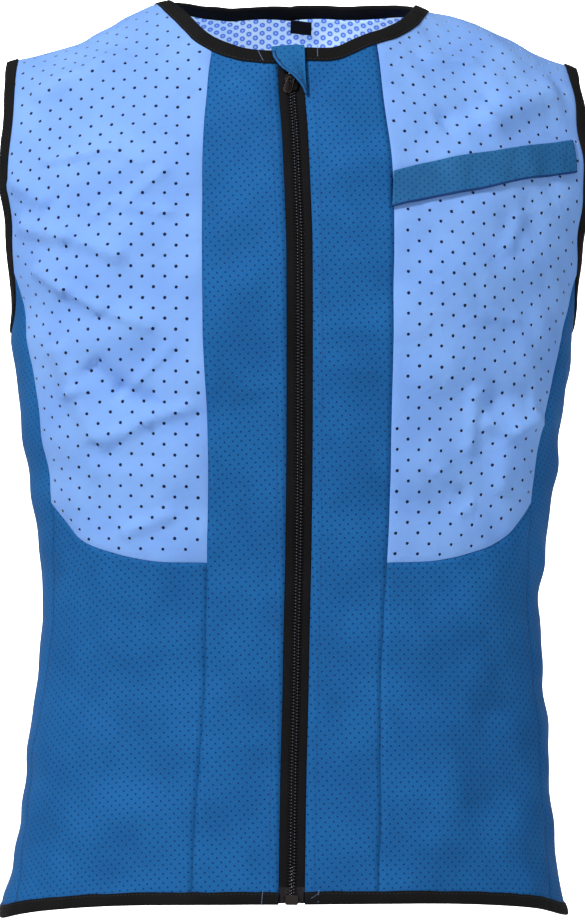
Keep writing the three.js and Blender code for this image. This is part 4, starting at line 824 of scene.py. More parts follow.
def perforatedPanel(name, node, boundary, tilt, middle, wall):
    random = np.random.RandomState(perforated["seed"])
    outline = boundary * domainScale
    if (outline[:, 0] * np.roll(outline[:, 1], -1) - np.roll(outline[:, 0], -1) * outline[:, 1]).sum() < 0:
        boundary, outline = boundary[::-1], outline[::-1]
    along = unit(np.roll(outline, -1, axis=0) - np.roll(outline, 1, axis=0))
    rim = outline + np.stack([-along[:, 1], along[:, 0]], axis=1) * perforated["rim"]
    rim = rim[edgeDistance(rim, outline) > perforated["rimKeep"]]

    wayEdge = clothWay(boundary, middle)
    low, high = wayEdge.min(axis=0) - perforated["margin"], wayEdge.max(axis=0) + perforated["margin"]
    across, rowStep = perforated["across"], perforated["rowStep"]
    c, s = math.cos(math.radians(tilt)), math.sin(math.radians(tilt))
    centre = (low + high) / 2
    reachOut = float(np.linalg.norm(high - low)) / 2
    wanted = []
    for row in range(-int(reachOut / rowStep), int(reachOut / rowStep) + 1):
        for column in range(-int(reachOut / across), int(reachOut / across) + 1):
            p = (column + 0.5 * (row % 2)) * across
            wanted.append((centre[0] + p * c, centre[1] + row * rowStep + p * s))
    wanted = np.array(wanted)
    wanted = wanted[((wanted > low) & (wanted < high)).all(axis=1)]
    wanted += random.uniform(-1, 1, wanted.shape) * perforated["jitter"]
    nearest = [int(np.argmin(((wayEdge - w) ** 2).sum(axis=1))) for w in wanted]
    places, miss = solvePlaces(wanted, boundary[nearest].astype(float), middle)
    flat = places * domainScale
    good = ((miss < perforated["missMost"]) & insidePolygon(flat, outline)
            & (edgeDistance(flat, outline) > perforated["edgeRoom"]))
    holes = places[good]
    count = perforated["ringPoints"]
    radius = perforated["holeRadius"] * (1 + perforated["radiusSpread"] * random.uniform(-1, 1, len(holes)))
    rings = ringAround(holes, radius, count)

    fillStep = perforated["fillStep"]
    xs = np.arange(outline[:, 0].min(), outline[:, 0].max(), fillStep)
    ys = np.arange(outline[:, 1].min(), outline[:, 1].max(), fillStep * 0.866)  # rows of even triangles
    fill = np.array([(x + (fillStep / 2 if j % 2 else 0), y) for j, y in enumerate(ys) for x in xs])
    fill = fill[insidePolygon(fill, outline)]
    fill = fill[edgeDistance(fill, outline) > perforated["fillRoom"]]
    flatHoles = holes * domainScale
    nearest = np.array([np.min(((flatHoles - f) ** 2).sum(axis=1)) for f in fill])
    clear = nearest > perforated["holeRoom"] ** 2

    edgeCount, rimCount = len(outline), len(rim)
    plain = np.concatenate([outline, rim, fill])
    pierced = np.concatenate([outline, rim, fill[clear], (rings * domainScale).reshape(-1, 2)])
    firstRing = edgeCount + rimCount + int(clear.sum())
    loops = [(0, edgeCount)] + [(firstRing + k * count, count) for k in range(len(holes))]
    outerFaces = [f for f in cutCloth(pierced, loops)
                  if not (min(f) >= firstRing and len({(v - firstRing) // count for v in f}) == 1)]
    innerFaces = cutCloth(plain, [(0, edgeCount)])

    piercedPlaces, plainPlaces = pierced / domainScale, plain / domainScale
    drop = np.zeros(len(pierced))
    drop[:edgeCount] = panelSet["seamDrop"]
    outer = clothPoint(piercedPlaces, wall / 2 - drop)
    # a floor shuts each hole; its faces carry the painted shade of the hole
    floor = clothPoint(piercedPlaces[firstRing:], wall / 2 - perforated["depth"])
    inner = clothPoint(plainPlaces, -wall / 2)
    floorStart = len(outer)
    innerStart = floorStart + len(floor)
    faces, looks = list(outerFaces), [0] * len(outerFaces)
    for k in range(len(holes)):
        top, bottom = firstRing + k * count, floorStart + k * count
        faces += [(top + i, top + j, bottom + j, bottom + i) for i, j in polygonSides(range(count))]
        faces.append(tuple(range(bottom, bottom + count)))
        looks += [1] * count + [2]
    faces += [tuple(innerStart + v for v in f[::-1]) for f in innerFaces]
    faces += [(j, i, innerStart + i, innerStart + j) for i, j in polygonSides(range(edgeCount))]
    looks += [0] * (len(innerFaces) + edgeCount)
    points = np.concatenate([outer, floor, inner])
    if not facesOut(points, normalAt(piercedPlaces), outerFaces):
        faces = [f[::-1] for f in faces]
    allPlaces = np.concatenate([piercedPlaces, piercedPlaces[firstRing:], plainPlaces])
    piece = newPiece(name, points, faces, [finish["pale"], finish["paleEdge"], finish["holeShade"]],
                     faceLooks=looks, way=clothWay(allPlaces, middle))
    sharpEdges(piece, 50)
    fitPiece(piece, node)
    print(name, len(holes), "holes", len(faces), "faces")


def loopOf(*parts):  # closed boundary from runs end to end, corners once
    return np.concatenate([part[:-1] for part in parts])


def edgeRun(curve, start, end):
    return runByStep(curve, start, end, perforated["boundaryStep"])


shoulders = {}
for side, c in curves.items():
    shoulders[side] = levelRun(turnAt(c["arm"](armTopAround)), turnAt(c["neck"](c["shoulderAt"])),
                               vest["shoulderSeam"])
    boundary = loopOf(
        edgeRun(c["chest"], 0, 1), edgeRun(c["flank"], chestHemEnd, vest["armSeamClimb"]),
        edgeRun(c["arm"], armSeamAround, armTopAround), edgeRun(*shoulders[side]),
        edgeRun(c["neck"], c["shoulderAt"], c["seamAt"]), edgeRun(c["seam"], c["neckSeam"], c["split"]))
    perforatedPanel(f"chest_panel_cloth_{side}", f"front_{side}_chest_panel", boundary,
                    perforated["tilt"][side], 0, panelSet["clothWall"])
armBackEnd = 180 - armSeamAround
overShoulder = [edgeRun(*part) for part in (
    (right["arm"], armBackEnd, armTopAround), shoulders["right"], (right["neck"], right["shoulderAt"], 180),
    (left["neck"], 180, left["shoulderAt"]), (shoulders["left"][0], 1, 0),
    (left["arm"], armTopAround, armBackEnd))]
backBoundary = loopOf(
    edgeRun(*backSplit), edgeRun(backSeams[1], chestHemEnd, vest["armSeamClimb"]),
    *(toBack(places) for places in overShoulder), edgeRun(backSeams[0], vest["armSeamClimb"], chestHemEnd))
perforatedPanel("back_panel_cloth", "back_upper_panel", backBoundary, 0.0, 180, panelSet["clothWall"])
print("pale panels made")

# Bindings, folded round the edges and stitched down
bindingSet = {
    "width": 8.6, "neckWidth": 10.9, "step": 3.0, "wall": 0.8, "foldGap": 0.3, "pucker": 0.22,
    "wobble": 0.25, "groove": 0.35, "stitchInset": 1.6, "stitchPitch": 3.1, "stitchLength": 2.2,
    "stitchWide": 0.34, "stitchRise": 0.12, "turnUnder": 1.1, "seed": 11,
}
bindingFold = panelSet["clothWall"] / 2 + bindingSet["foldGap"]  # half room inside the fold


def insetPlaces(places, distance, towards, closed=False):
    points = bodyAt(places)
    if closed:
        along = np.roll(points, -1, axis=0) - np.roll(points, 1, axis=0)
    else:
        along = np.gradient(points, axis=0)
    inward = unit(np.cross(normalAt(places), unit(along)))
    middle = len(places) // 2
    if np.dot(inward[middle], bodyPoint(*towards) - points[middle]) < 0:
        inward = -inward
    target = points + inward * np.asarray(distance).reshape(-1, 1)
    result = places.copy()
    for _ in range(5):
        base = bodyAt(result)
        byTurn = (bodyAt(result + [0.1, 0]) - base) * 10
        byClimb = (bodyAt(result + [0, 0.001]) - base) * 1000
        miss = target - base
        a, b, d = (byTurn**2).sum(1), (byTurn * byClimb).sum(1), (byClimb**2).sum(1)
        e, f = (byTurn * miss).sum(1), (byClimb * miss).sum(1)
        det = a * d - b * b
        result = result + np.stack([(e * d - f * b) / det, (a * f - b * e) / det], axis=1)
    return result


def bindingProfile(wide):  # distance from the inner edge and height off the cloth, all the way round
    fold, wall = bindingFold, bindingSet["wall"]
    top = fold + wall
    stitch, groove = bindingSet["stitchInset"], bindingSet["groove"]
    upper = [(0.0, fold + 0.05), (0.08, fold + 0.5), (0.5, top - 0.08), (stitch - 0.45, top),
             (stitch, top - groove), (stitch + 0.45, top), (stitch + 1.6, top + 0.12),
             (wide * 0.7, top + 0.14), (wide, top)]
    turnRound = [(wide + math.sin(a) * (wall + bindingSet["foldGap"]), math.cos(a) * top)
                 for a in np.radians([30, 60, 90, 120, 150])]
    lower = [(x, -h) for x, h in upper[::-1]]
    inside = [(0.0, -fold + 0.05), (wide, -fold), (wide + 0.25, 0.0), (wide, fold), (0.0, fold - 0.05)]
    return np.array(upper + turnRound + lower + inside)


def bindingPiece(name, node, places, towards, closed=False, total=bindingSet["width"]):
    random = np.random.RandomState(bindingSet["seed"])
    count = len(places)

    def uneven(size, reach):  # slow random change along the edge
        values = random.uniform(-1, 1, count)
        kernel = np.hanning(reach * 2 + 1)
        ring = np.pad(values, reach, "wrap" if closed else "edge")
        return size * np.convolve(ring, kernel / kernel.sum() * 2.2, "valid")
    wide = total + uneven(bindingSet["wobble"], 3)
    insets = insetPlaces(places, wide, towards, closed)
    edge, inner = clothPoint(places), clothPoint(insets)
    edgeNormal, innerNormal = normalAt(places), normalAt(insets)
    out = unit(edge - inner)
    puckers = uneven(bindingSet["pucker"], 2)
    profile = bindingProfile(total)
    sections = []
    for across, height in profile:
        share = min(across / total, 1.0)
        base = inner + (edge - inner) * share + out * max(across - total, 0.0)
        normal = unit(innerNormal * (1 - share) + edgeNormal * share)
        raised = np.sign(height) * (abs(height) > bindingFold + 0.4)  # only the faces of the tape swell
        swell = puckers * raised * math.sin(math.pi * min(share, 0.9))
        sections.append(base + normal * (height + swell)[:, None])
    size = len(profile)
    points = np.stack(sections, axis=1).reshape(-1, 3)
    faces = []
    for j in range(count if closed else count - 1):
        a, b = j * size, ((j + 1) % count) * size
        faces += [(a + i, a + (i + 1) % size, b + (i + 1) % size, b + i) for i in range(size)]
    if not closed:
        ring = [size - 1, *range(size - 1)]
        faces.append(tuple(ring[::-1]))
        faces.append(tuple((count - 1) * size + v for v in ring))
    a, b, c = (points[v] for v in faces[3][:3])
    if np.dot(np.cross(b - a, c - a), edgeNormal[0]) < 0:
        faces = [f[::-1] for f in faces]
    length = walkAlong(edge)
    wayHere = np.stack([np.repeat(length, size), np.tile(profile[:, 0], count)], axis=1)
    piece = newPiece(name, points, faces, [finish["binding"]], way=wayHere)
    sharpEdges(piece, 70)
    fitPiece(piece, node)
    share = bindingSet["stitchInset"] / total
    normal = innerNormal * (1 - share) + edgeNormal * share
    level = bindingFold + bindingSet["wall"] - bindingSet["groove"] + bindingSet["stitchRise"]
    stitchLine(name + "_stitches", inner + (edge - inner) * share + normal * level, normal, "thread", closed)


threadRings = np.array([(0.0, 0.35, -0.32), (0.12, 0.9, -0.02), (0.5, 1.0, 0.0), (0.88, 0.9, -0.02),
                        (1.0, 0.35, -0.32)])  # share of the length, girth and height of each ring


def stitchLine(name, line, normals, look, closed=False, pitch=bindingSet["stitchPitch"],
               length=bindingSet["stitchLength"], wide=bindingSet["stitchWide"]):
    if closed:
        line, normals = np.concatenate([line, line[:1]]), np.concatenate([normals, normals[:1]])
    walk = walkAlong(line)
    count = int(walk[-1] / pitch)
    points, faces, sides = [], [], 6
    angles = np.linspace(0, 2 * math.pi, sides, endpoint=False)
    for start in (np.arange(count) + 0.5) * walk[-1] / count:
        at = start + (threadRings[:, 0] - 0.5) * length
        spots, up = (np.stack([np.interp(at, walk, rows[:, k]) for k in range(3)], axis=1)
                     for rows in (line, normals))
        up = unit(up)
        side = np.cross(unit(np.gradient(spots, axis=0)), up)
        faces += tubeFaces(len(points), len(threadRings), sides)
        for spot, over, beside, (_, girth, dip) in zip(spots, up, side, threadRings):
            points += [spot + over * dip + wide * girth * (beside * math.cos(a) + over * 0.7 * math.sin(a))
                       for a in angles]
    fitPiece(newPiece(name, np.array(points), faces, [finish[look]]))


hemPlaces = runByStep(*levelRun(turnAt(right["tape"](0.0)), turnAt(left["tape"](0.0)) - 360),
                      bindingSet["step"])
bindingPiece("hem_binding_tape", "hem_binding", hemPlaces, (180, 0.2))
neckPlaces = np.concatenate([
    runByStep(right["neck"], right["tapeAt"], 180, bindingSet["step"]),
    runByStep(left["neck"], 180, left["tapeAt"], bindingSet["step"])[1:]])
bindingPiece("neck_binding_tape", "neck_binding", neckPlaces, (180, 0.6), total=bindingSet["neckWidth"])
for side, sign in sideSign.items():
    armPlaces = runByStep(curves[side]["arm"], 0, 180, bindingSet["step"])[:-1]
    bindingPiece(f"armhole_binding_tape_{side}", f"armhole_binding_{side}", armPlaces, (sign * 90, 1.44),
                 closed=True)
print("bindings made")

# Zip: woven tapes, coil, and the hard pieces
zipLook = {
    "filmTop": 10.4, "toothPitch": 2.4, "toothReach": 3.7, "toothCross": 0.7, "toothRound": 0.56,
    "toothFoot": 0.35, "toothCrest": 0.95, "toothTip": 0.7, "crestShare": 0.45, "threadLevel": 1.42,
    "threadRound": 0.17, "threadLean": 0.2, "threadHalf": 0.5, "threadBow": 0.06, "toothLean": 0.25,
    "tipLean": 0.1, "firstRoom": 0.8, "footRoom": 1.5, "lastRoom": 2, "tapeCell": 2.0,
    "tapeWall": 0.6, "stitchColumn": 1.4, "openSpread": 2.1,
    "innerOpen": 1.9, "innerClosed": 0.06, "innerBox": 4.74, "tuck": 0.25, "bevel": 0.34, "boxBevel": 0.4,
}
tapeProfile = np.array([(0.0, -0.35), (0.12, -0.3), (0.3, -0.25), (0.32, -0.05), (0.55, 0.0), (0.8, -0.05),
                        (0.93, -0.15), (1.0, -0.5), (1.08, -1.15), (1.4, -1.3)])  # share across, height
zipClimbs = np.linspace(0, float(neckEdge("right", 0)[1]), 1300)
zipWalk = walkAlong(bodyAt(besideZip(0, zipClimbs)))
zipLength = float(zipWalk[-1])
sliderAt = zipLength - zipSet["sliderDrop"]


def zipClimb(distance):
    past = np.maximum(np.asarray(distance, float) - zipLength, 0) * (zipClimbs[-1] - zipClimbs[-2]) / (
        zipWalk[-1] - zipWalk[-2])
    return np.interp(distance, zipWalk, zipClimbs) + past


def zipPoint(across, distance, height):  # a point beside the zip's middle, off the cloth by a height
    places = besideZip(np.asarray(across, float), zipClimb(distance))
    return clothPoint(places, height), normalAt(places)


def zipTapePiece(side):
    sign = sideSign[side]
    levels = np.arange(0, zipLength - zipSet["tapeDrop"], zipLook["tapeCell"])
    sliderFoot = sliderAt - zipSet["sliderLength"] / 2
    inner = np.where(levels > sliderFoot, zipLook["innerOpen"], zipLook["innerClosed"])
    inner = np.where(levels < zipSet["boxTop"], zipLook["innerBox"], inner)[:, None]
    outer = zipSet["tapeHalf"] - zipLook["tuck"]
    across = sign * (inner + (outer - inner) * tapeProfile[None, :, 0])
    places = besideZip(across, zipClimb(levels)[:, None] + np.zeros(across.shape))
    piece = sheetPiece(f"zip_tape_cloth_{side}", places, zipLook["tapeWall"],
                       [finish["tape"], finish["tapeEnd"]], heights=tapeProfile[None, :, 1])
    first = np.array([min(p.vertices) % across.size for p in piece.data.polygons]) // across.shape[1]
    piece.data.polygons.foreach_set("material_index", (levels[first] < zipLook["filmTop"]).astype(np.int32))
    declareSheet(fitPiece(piece, f"zip_tape_{side}"), places)


barRings = ((0.0, 0.45), (0.1, 0.9), (0.3, 1.0), (0.5, 1.0), (0.7, 1.0), (0.9, 0.9), (1.0, 0.45))


def barsPiece(name, starts, middles, ends, girth, normals, look, sides=7, flat=0.9, node=None):
    # short round bars, each through three points
    points, faces = [], []
    angles = np.linspace(0, 2 * math.pi, sides, endpoint=False)
    last = len(barRings) - 1
    for a, b, c, up in zip(starts, middles, ends, normals):
        spots = [(1 - s) * (1 - 2 * s) * a + 4 * s * (1 - s) * b + s * (2 * s - 1) * c for s, _ in barRings]
        faces += tubeFaces(len(points), len(barRings), sides)
        for k, spot in enumerate(spots):
            along = unit(spots[min(k + 1, last)] - spots[max(k - 1, 0)])
            side = unit(np.cross(along, up))
            over = np.cross(side, along) * flat
            points += [spot + girth * barRings[k][1] * (side * math.cos(angle) + over * math.sin(angle))
                       for angle in angles]
    fitPiece(newPiece(name, np.array(points), faces, [finish[look]]), node)


def coilPiece(side):
    sign = sideSign[side]
    pitch = zipLook["toothPitch"]
    first = zipSet["boxTop"] + zipLook["firstRoom"]
    foot = sliderAt - zipSet["sliderLength"] / 2 + zipLook["footRoom"]
    head = zipLength - zipSet["tapeDrop"] - zipLook["lastRoom"]
    closedAt = np.arange(first + (pitch / 2 if side == "left" else 0), foot, pitch)
    openAt = np.arange(sliderAt + zipSet["sliderLength"] / 2, head, pitch)
    at = np.concatenate([closedAt, openAt])
    shift = np.concatenate([np.zeros(len(closedAt)), np.full(len(openAt), zipLook["openSpread"])])
    reach, cross = zipLook["toothReach"], zipLook["toothCross"]
    starts, normals = zipPoint(sign * (reach + shift), at - zipLook["toothLean"] * sign, zipLook["toothFoot"])
    middles, _ = zipPoint(sign * (reach * zipLook["crestShare"] + shift), at, zipLook["toothCrest"])
    ends, _ = zipPoint(sign * (shift - cross), at + zipLook["tipLean"] * sign, zipLook["toothTip"])
    barsPiece(f"zip_coil_{side}", starts, middles, ends, zipLook["toothRound"], normals, "coil",
              node="zip_chain" if side == "right" else None)
    column, lean, half = zipLook["stitchColumn"] + shift, zipLook["threadLean"], zipLook["threadHalf"]
    starts, normals = zipPoint(sign * (column + lean), at - half, zipLook["threadLevel"])
    ends, _ = zipPoint(sign * (column - lean), at + half, zipLook["threadLevel"])
    barsPiece(f"zip_coil_stitches_{side}", starts, (starts + ends) / 2 + normals * zipLook["threadBow"], ends,
              zipLook["threadRound"], normals, "greyThread", sides=6, flat=0.6)


bevelSet = {"flat": 1.5, "sharp": 25, "segments": 2, "profile": 0.6}  # angles in degrees


def bevelledCopy(name, node, look, width, body="vest", edgeLook=None):
    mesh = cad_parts[node].data.copy()
    mesh.name = name
    shape = bmesh.new()
    shape.from_mesh(mesh)
    bmesh.ops.remove_doubles(shape, verts=shape.verts, dist=1e-6)
    bmesh.ops.dissolve_limit(shape, angle_limit=math.radians(bevelSet["flat"]), verts=shape.verts,
                             edges=shape.edges)
    sharp = math.radians(bevelSet["sharp"])
    edges = [e for e in shape.edges if len(e.link_faces) == 2 and e.calc_face_angle(0) > sharp]
    for face in shape.faces:
        face.material_index = 0
    bmesh.ops.bevel(shape, geom=edges, offset=width * millimetre, segments=bevelSet["segments"],
                    profile=bevelSet["profile"], affect="EDGES", clamp_overlap=True,
                    material=1 if edgeLook else 0)
    mesh.materials.clear()
    mesh.materials.append(finish[look])
    if edgeLook:
        mesh.materials.append(finish[edgeLook])
    shape.to_mesh(mesh)
    shape.free()
    mesh.polygons.foreach_set("use_smooth", [True] * len(mesh.polygons))
    piece = bpy.data.objects.new(name, mesh)
    bpy.context.collection.objects.link(piece)
    sharpEdges(piece, 40)
    fitPiece(piece, node, body)


for side in sideSign:
    zipTapePiece(side)
    coilPiece(side)
bevelledCopy("slider_body", "zip_slider", "metal", zipLook["bevel"], edgeLook="metalEdge")
bevelledCopy("slider_pull", "zip_puller", "metal", zipLook["bevel"], body="puller",
             edgeLook="metalEdge")
bevelledCopy("zip_bottom_box", "zip_box", "plastic", zipLook["boxBevel"])

# The stitching beside the zip, on the centre panels
topstitch = {"offset": 16.8, "from": 10, "end": 12, "every": 4.0, "lift": 0.05,
             "pitch": 2.6, "length": 1.9, "wide": 0.2}
for side, sign in sideSign.items():
    at = np.arange(topstitch["from"], zipLength - topstitch["end"], topstitch["every"])
    line, normals = zipPoint(np.full(len(at), sign * topstitch["offset"]), at,
                             panelSet["meshWall"] / 2 + topstitch["lift"])
    stitchLine(f"zip_topstitch_{side}", line, normals, "blueThread", pitch=topstitch["pitch"],
               length=topstitch["length"], wide=topstitch["wide"])
print("zip made")

# Mesh guard over the top of the zip: a pointed leg outside, a fold and a short leg inside
guardSet = {
    "cells": 44, "inside": 13, "lift": 4.4, "wall": 1.2, "rowStep": 1.1, "rollRows": 11, "insideRows": 9,
    "insideStep": 1.5, "hemWide": 2.2, "hemHigh": 0.5, "hemOut": 1.4, "hemEnd": 24, "hemStart": 1.7,
    "hemFade": 8, "hemSoft": 1.2, "outFrom": 1, "outOver": 6, "footFrom": 0.4, "narrowest": 0.5,
    "lineShare": 0.15, "flatWide": 0.0252,
    "rows": table("drop from to rise foot",
                  (0.5, -19.5, 5.2, 3.8, 3.8), (4.5, -17.6, 5.3, 3.8, 3.6), (10.0, -15.2, 5.4, 4.9, 3.3),
                  (16.0, -12.2, 5.4, 6.8, 3.4), (20.5, -9.2, 5.5, 7.7, 3.6), (25.0, -4.6, 5.6, 7.6, 3.8),
                  (32.0, 1.8, 5.9, 5.5, 3.8), (38.5, 5.4, 6.4, 2.4, 2.4)),
}


def thickenGrid(name, middles, normals, wall, looks, way, extra):  # extra is added to the outside
    return shellPiece(name, middles + normals * (wall / 2 + extra)[..., None], middles - normals * wall / 2,
                      normals, looks, way)


def makeGuard():
    rows, shares = guardSet["rows"], np.linspace(0, 1, guardSet["cells"] + 1)
    highest, lowest = rows["drop"][0], rows["drop"][-1]
    plain = np.zeros(len(shares))
    middles, normals, hems, ways = [], [], [], []
    walk = 0.0

    def addRow(drop, outs, rise, facingOut, facingUp, start, end, hem):
        climb = float(zipClimb(zipLength - drop))
        across = start + (end - start) * shares
        places = asPlaces(turnAcross(across, climb), climb)
        normal = normalAt(places)
        up = unit(bodyAt(places + [0, 0.001]) - bodyAt(places))
        middles.append(clothPoint(places) + normal * outs[:, None] + up * rise)
        normals.append(normal * facingOut + up * facingUp)
        hems.append(hem)
        ways.append(np.stack([across, np.full(len(shares), walk)], axis=1))
    for drop in np.linspace(lowest, highest, int((lowest - highest) / guardSet["rowStep"]) + 1):
        start, end, rise, foot = (float(tableValue(rows, "drop", drop, k))
                                  for k in ("from", "to", "rise", "foot"))
        start -= guardSet["hemOut"] * float(smoothStep((drop - guardSet["outFrom"]) / guardSet["outOver"])
                                            * smoothStep((guardSet["hemEnd"] - drop) / guardSet["hemFade"]))
        footFrom = guardSet["footFrom"]
        outs = rise + (foot - rise) * smoothStep((shares - footFrom) / (1 - footFrom))
        edgeAt = shares * max(end - start, guardSet["narrowest"])
        hem = guardSet["hemHigh"] * smoothStep((guardSet["hemWide"] - edgeAt) / guardSet["hemSoft"] + 0.5)
        addRow(drop, outs, 0.0, 1.0, 0.0, start, end, hem * (drop > guardSet["hemStart"]))
        walk += guardSet["rowStep"]
    start, end, high = (float(rows[k][0]) for k in ("from", "to", "rise"))
    for turn in np.radians(np.linspace(15, 165, guardSet["rollRows"])):
        addRow(highest, plain + high * math.cos(turn), guardSet["lift"] * math.sin(turn),
               math.cos(turn), math.sin(turn), start, end, plain)
        walk += guardSet["rowStep"]
    for drop in np.linspace(highest, guardSet["inside"], guardSet["insideRows"]):
        addRow(drop, plain - high, 0.0, -1.0, 0.0, start, end, plain)
        walk += guardSet["insideStep"]
    middles, normals, hems = np.array(middles), unit(np.array(normals)), np.array(hems)
    piece = thickenGrid("zip_guard_cloth", middles, normals, guardSet["wall"],
                        [finish["guardMesh"], finish["guardStepShade"]], np.array(ways).reshape(-1, 2), hems)
    rims = hems.reshape(-1)  # the step faces of the folded hem get painted shade, a dark navy line
    steps = np.array([np.ptp(rims[[v % rims.size for v in p.vertices]]) for p in piece.data.polygons])
    piece.data.polygons.foreach_set(
        "material_index", (steps > guardSet["lineShare"] * guardSet["hemHigh"]).astype(np.int32))
    fitPiece(piece, "zip_guard")
    long = float(walkAlong(middles[:, len(shares) // 2 + 2])[-1]) * millimetre


makeGuard()

# Wavy mesh strip on the wearer's left chest
stripSet = {
    "stand": 0.75, "wave": 0.7, "waves": 5, "wall": 1.2, "across": 110, "up": 16, "edge": 1.6,
    "bead": 0.35, "height": 35, "lean": 0.03, "creases": (0.13, 0.37, 0.58, 0.69, 0.93), "creaseDeep": 0.3,
    "creaseHalf": 0.008, "creaseLean": 2.2, "fromTurn": 16.9, "ends": (54.2, 52.8),
    "rows": table("turn low high", (18.0, 0.640, 0.673), (27.0, 0.657, 0.695), (34.0, 0.671, 0.711),
                  (41.5, 0.690, 0.731), (52.4, 0.710, 0.755)),
}


def makeStrip():
    rows, (lowEnd, highEnd) = stripSet["rows"], stripSet["ends"]
    share = np.linspace(0, 1, stripSet["across"] + 1)[None]
    heights = np.linspace(0, 1, stripSet["up"] + 1)[:, None]
    turns = stripSet["fromTurn"] + (lowEnd + (highEnd - lowEnd) * heights - stripSet["fromTurn"]) * share
    low, high = tableValue(rows, "turn", turns, "low"), tableValue(rows, "turn", turns, "high")
    places = asPlaces(turns, low + (high - low) * heights)
    lean = (heights - 0.5) * stripSet["lean"]  # the creases lean towards the arm going up
    wave = (1 - np.cos(2 * math.pi * stripSet["waves"] * (share - lean))) / 2
    leant = share - lean * stripSet["creaseLean"]
    crease = stripSet["creaseDeep"] * sum(
        np.exp(-((leant - at) / stripSet["creaseHalf"]) ** 2) for at in stripSet["creases"])
    stand = ((panelSet["clothWall"] + stripSet["wall"]) / 2 + stripSet["stand"] + stripSet["wave"] * wave
             - crease)
    edge = smoothStep((stripSet["edge"] / stripSet["height"] - heights) / 0.02 + 0.5) * stripSet["bead"]
    piece = thickenGrid("chest_strip_cloth", clothPoint(places, stand), normalAt(places), stripSet["wall"],
                        [finish["stripMesh"], finish["stripEdge"]], clothWay(places).reshape(-1, 2),
                        np.broadcast_to(edge, turns.shape))
    lines = np.array([min(p.vertices) for p in piece.data.polygons]) // (stripSet["across"] + 1)
    lowest = lines % (stripSet["up"] + 1) < 1  # the lower edge has its own colour, on both sides
    piece.data.polygons.foreach_set("material_index", lowest.astype(np.int32))
    declareSheet(fitPiece(piece, "chest_strip"), places)


makeStrip()

# Net lining inside the back, and the bare label that hangs over it
liningSet = {"lowClimb": 0.715, "inset": 9.5, "cell": 4.0, "shoulderCells": 24, "level": -1.55,
             "neckRoom": 0.3}


def makeLining():
    edges, tops = [], []
    for side, c in (("left", left), ("right", right)):
        arm = run(c["arm"], 180 - armAround(liningSet["lowClimb"]), armTopAround, 60)
        inset = np.full(len(arm), liningSet["inset"])
        edges.append(toBack(insetPlaces(arm, inset, (sideSign[side] * 40, 1.3))))
        neck = runByStep(c["neck"], c["shoulderAt"], 180, liningSet["cell"])
        room = bindingSet["neckWidth"] + liningSet["neckRoom"]
        inside = insetPlaces(neck, np.full(len(neck), room), (180, 0.6))
        inside[-1, 0] = 0.0  # both halves meet in the middle of the back
        tops.append(toBack(inside))
    leftShoulder = np.linspace(edges[0][-1], tops[0][0], liningSet["shoulderCells"])
    rightShoulder = np.linspace(tops[1][0], edges[1][-1], liningSet["shoulderCells"])
    top = np.concatenate([leftShoulder, tops[0][1:], tops[1][::-1][1:], rightShoulder[1:]])
    grid = fillBetween(np.linspace(edges[0][0], edges[1][0], len(top)), top, *edges)
    piece = sheetPiece("back_net_lining", grid, panelSet["liningWall"], [finish["net"]],
                       heights=liningSet["level"], middle=180)
    declareSheet(fitPiece(piece, "back_lining"), grid)


makeLining()
labelSet = {"wide": 17, "drop": 12, "shift": 9.3, "under": 0.36, "gap": 0.3, "room": 1.9, "wall": 0.6,
            "cells": 24, "curl": 0.35, "hem": 1.1, "hemRise": 0.18}


def makeLabel():
    top = 2 - float(vest["neck"]["right"][-1])
    falls = np.linspace(0, 0.2, 400)
    walk = walkAlong(bodyPoint(180.0, top - falls))
    share = np.linspace(0, 1, labelSet["cells"] + 1)
    across, up = np.meshgrid(share, share)
    below = bindingSet["width"] + labelSet["under"] + labelSet["drop"] * (1 - up)
    climbs = top - np.interp(below, walk, falls)
    beside = labelSet["shift"] + labelSet["wide"] * (0.5 - across)
    places = asPlaces(180 - turnAcross(beside, climbs), climbs)
    stand = -(panelSet["clothWall"] / 2 + labelSet["gap"] + panelSet["liningWall"] + labelSet["room"]
              + labelSet["wall"] / 2)
    curl = labelSet["curl"] * np.cos(2 * math.pi * across) * (1 - up)
    border = np.minimum(np.minimum(across, 1 - across) * labelSet["wide"],
                        np.minimum(up, 1 - up) * labelSet["drop"])
    rim = labelSet["hemRise"] * smoothStep((labelSet["hem"] - border) / 0.4 + 0.5)
    piece = sheetPiece("neck_label_bare", places, labelSet["wall"], [finish["label"]],
                       heights=stand + curl - rim, middle=180)
    declareSheet(fitPiece(piece, "neck_label"), places)


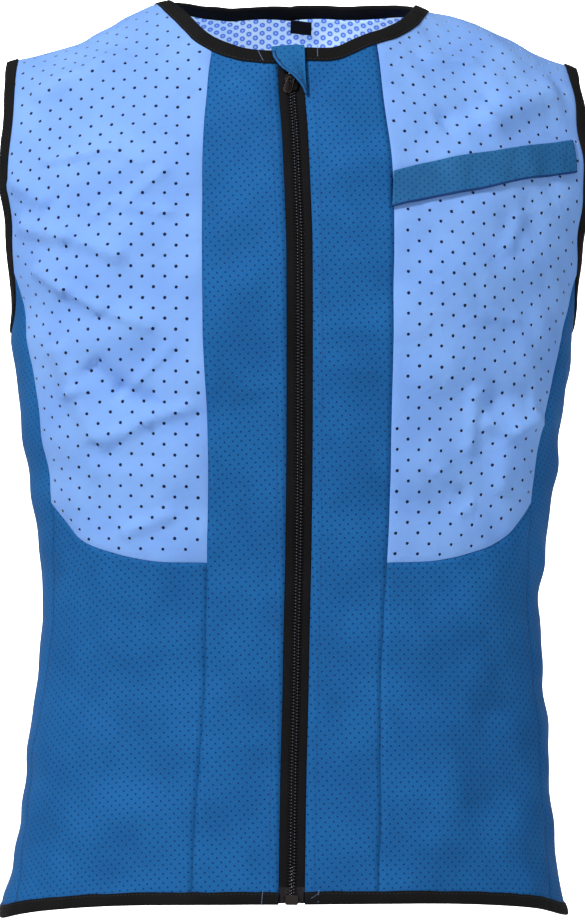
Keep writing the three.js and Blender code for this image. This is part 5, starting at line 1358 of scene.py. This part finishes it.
makeLabel()
print("guard, strip, lining and label made")

# Bar tacks and the loose end of thread at the hem
tackSet = {"wide": 0.3, "gap": 0.15, "cells": 7, "bow": 0.12}


def tack(name, start, end, height, count=tackSet["cells"], gap=tackSet["gap"], wide=tackSet["wide"],
         bow=0.0):
    shares = np.linspace(0, 1, count + 1)
    across = start[0] + (end[0] - start[0]) * shares + bow * np.sin(math.pi * shares)
    line, normals = zipPoint(across, start[1] + (end[1] - start[1]) * shares, height)
    a, b = line[:-1] * (1 - gap) + line[1:] * gap, line[:-1] * gap + line[1:] * (1 - gap)
    barsPiece(name, a, (a + b) / 2 + normals[:-1] * tackSet["bow"], b, wide, normals[:-1], "whiteThread",
              sides=6, flat=0.7)


tackLevel = bindingFold + bindingSet["wall"] + 0.1
for name, start, end in (("hem_right", (-22.4, -0.5), (-21.6, 9.5)), ("hem_left", (19.6, 0.5), (19.9, 10.0)),
                         ("neck_right", (-24.4, zipLength + 2.4), (-20.8, zipLength - 7.6)),
                         ("neck_left", (20.0, zipLength + 4.4), (20.0, zipLength - 5.4))):
    tack("bar_tack_" + name, start, end, tackLevel)
tack("loose_thread_hem", (14.1, 3.6), (20.6, 9.2), tackLevel + 0.2, count=12, gap=0.0, wide=0.14, bow=1.2)
print("tacks made")

# Pale floor that sweeps up into the backdrop
studioSet = {"floor": -2.2, "back": 8.4, "bend": 0.8, "half": 8.0, "front": -7.0, "top": 2.6}


def makeStudio():
    bend, low, back = studioSet["bend"], studioSet["floor"], studioSet["back"]
    curve = [(back - bend + bend * math.sin(a), low + bend * (1 - math.cos(a)))
             for a in np.linspace(0, math.pi / 2, 17)]
    profile = [(studioSet["front"], low), *curve, (back, studioSet["top"])]
    points = [(x, y, z) for y, z in profile for x in (-studioSet["half"], studioSet["half"])]
    faces = [(2 * k, 2 * k + 1, 2 * k + 3, 2 * k + 2) for k in range(len(profile) - 1)]
    newPiece("studio_floor", np.array(points) / millimetre, faces, [finish["floor"]])


makeStudio()
print("studio made")
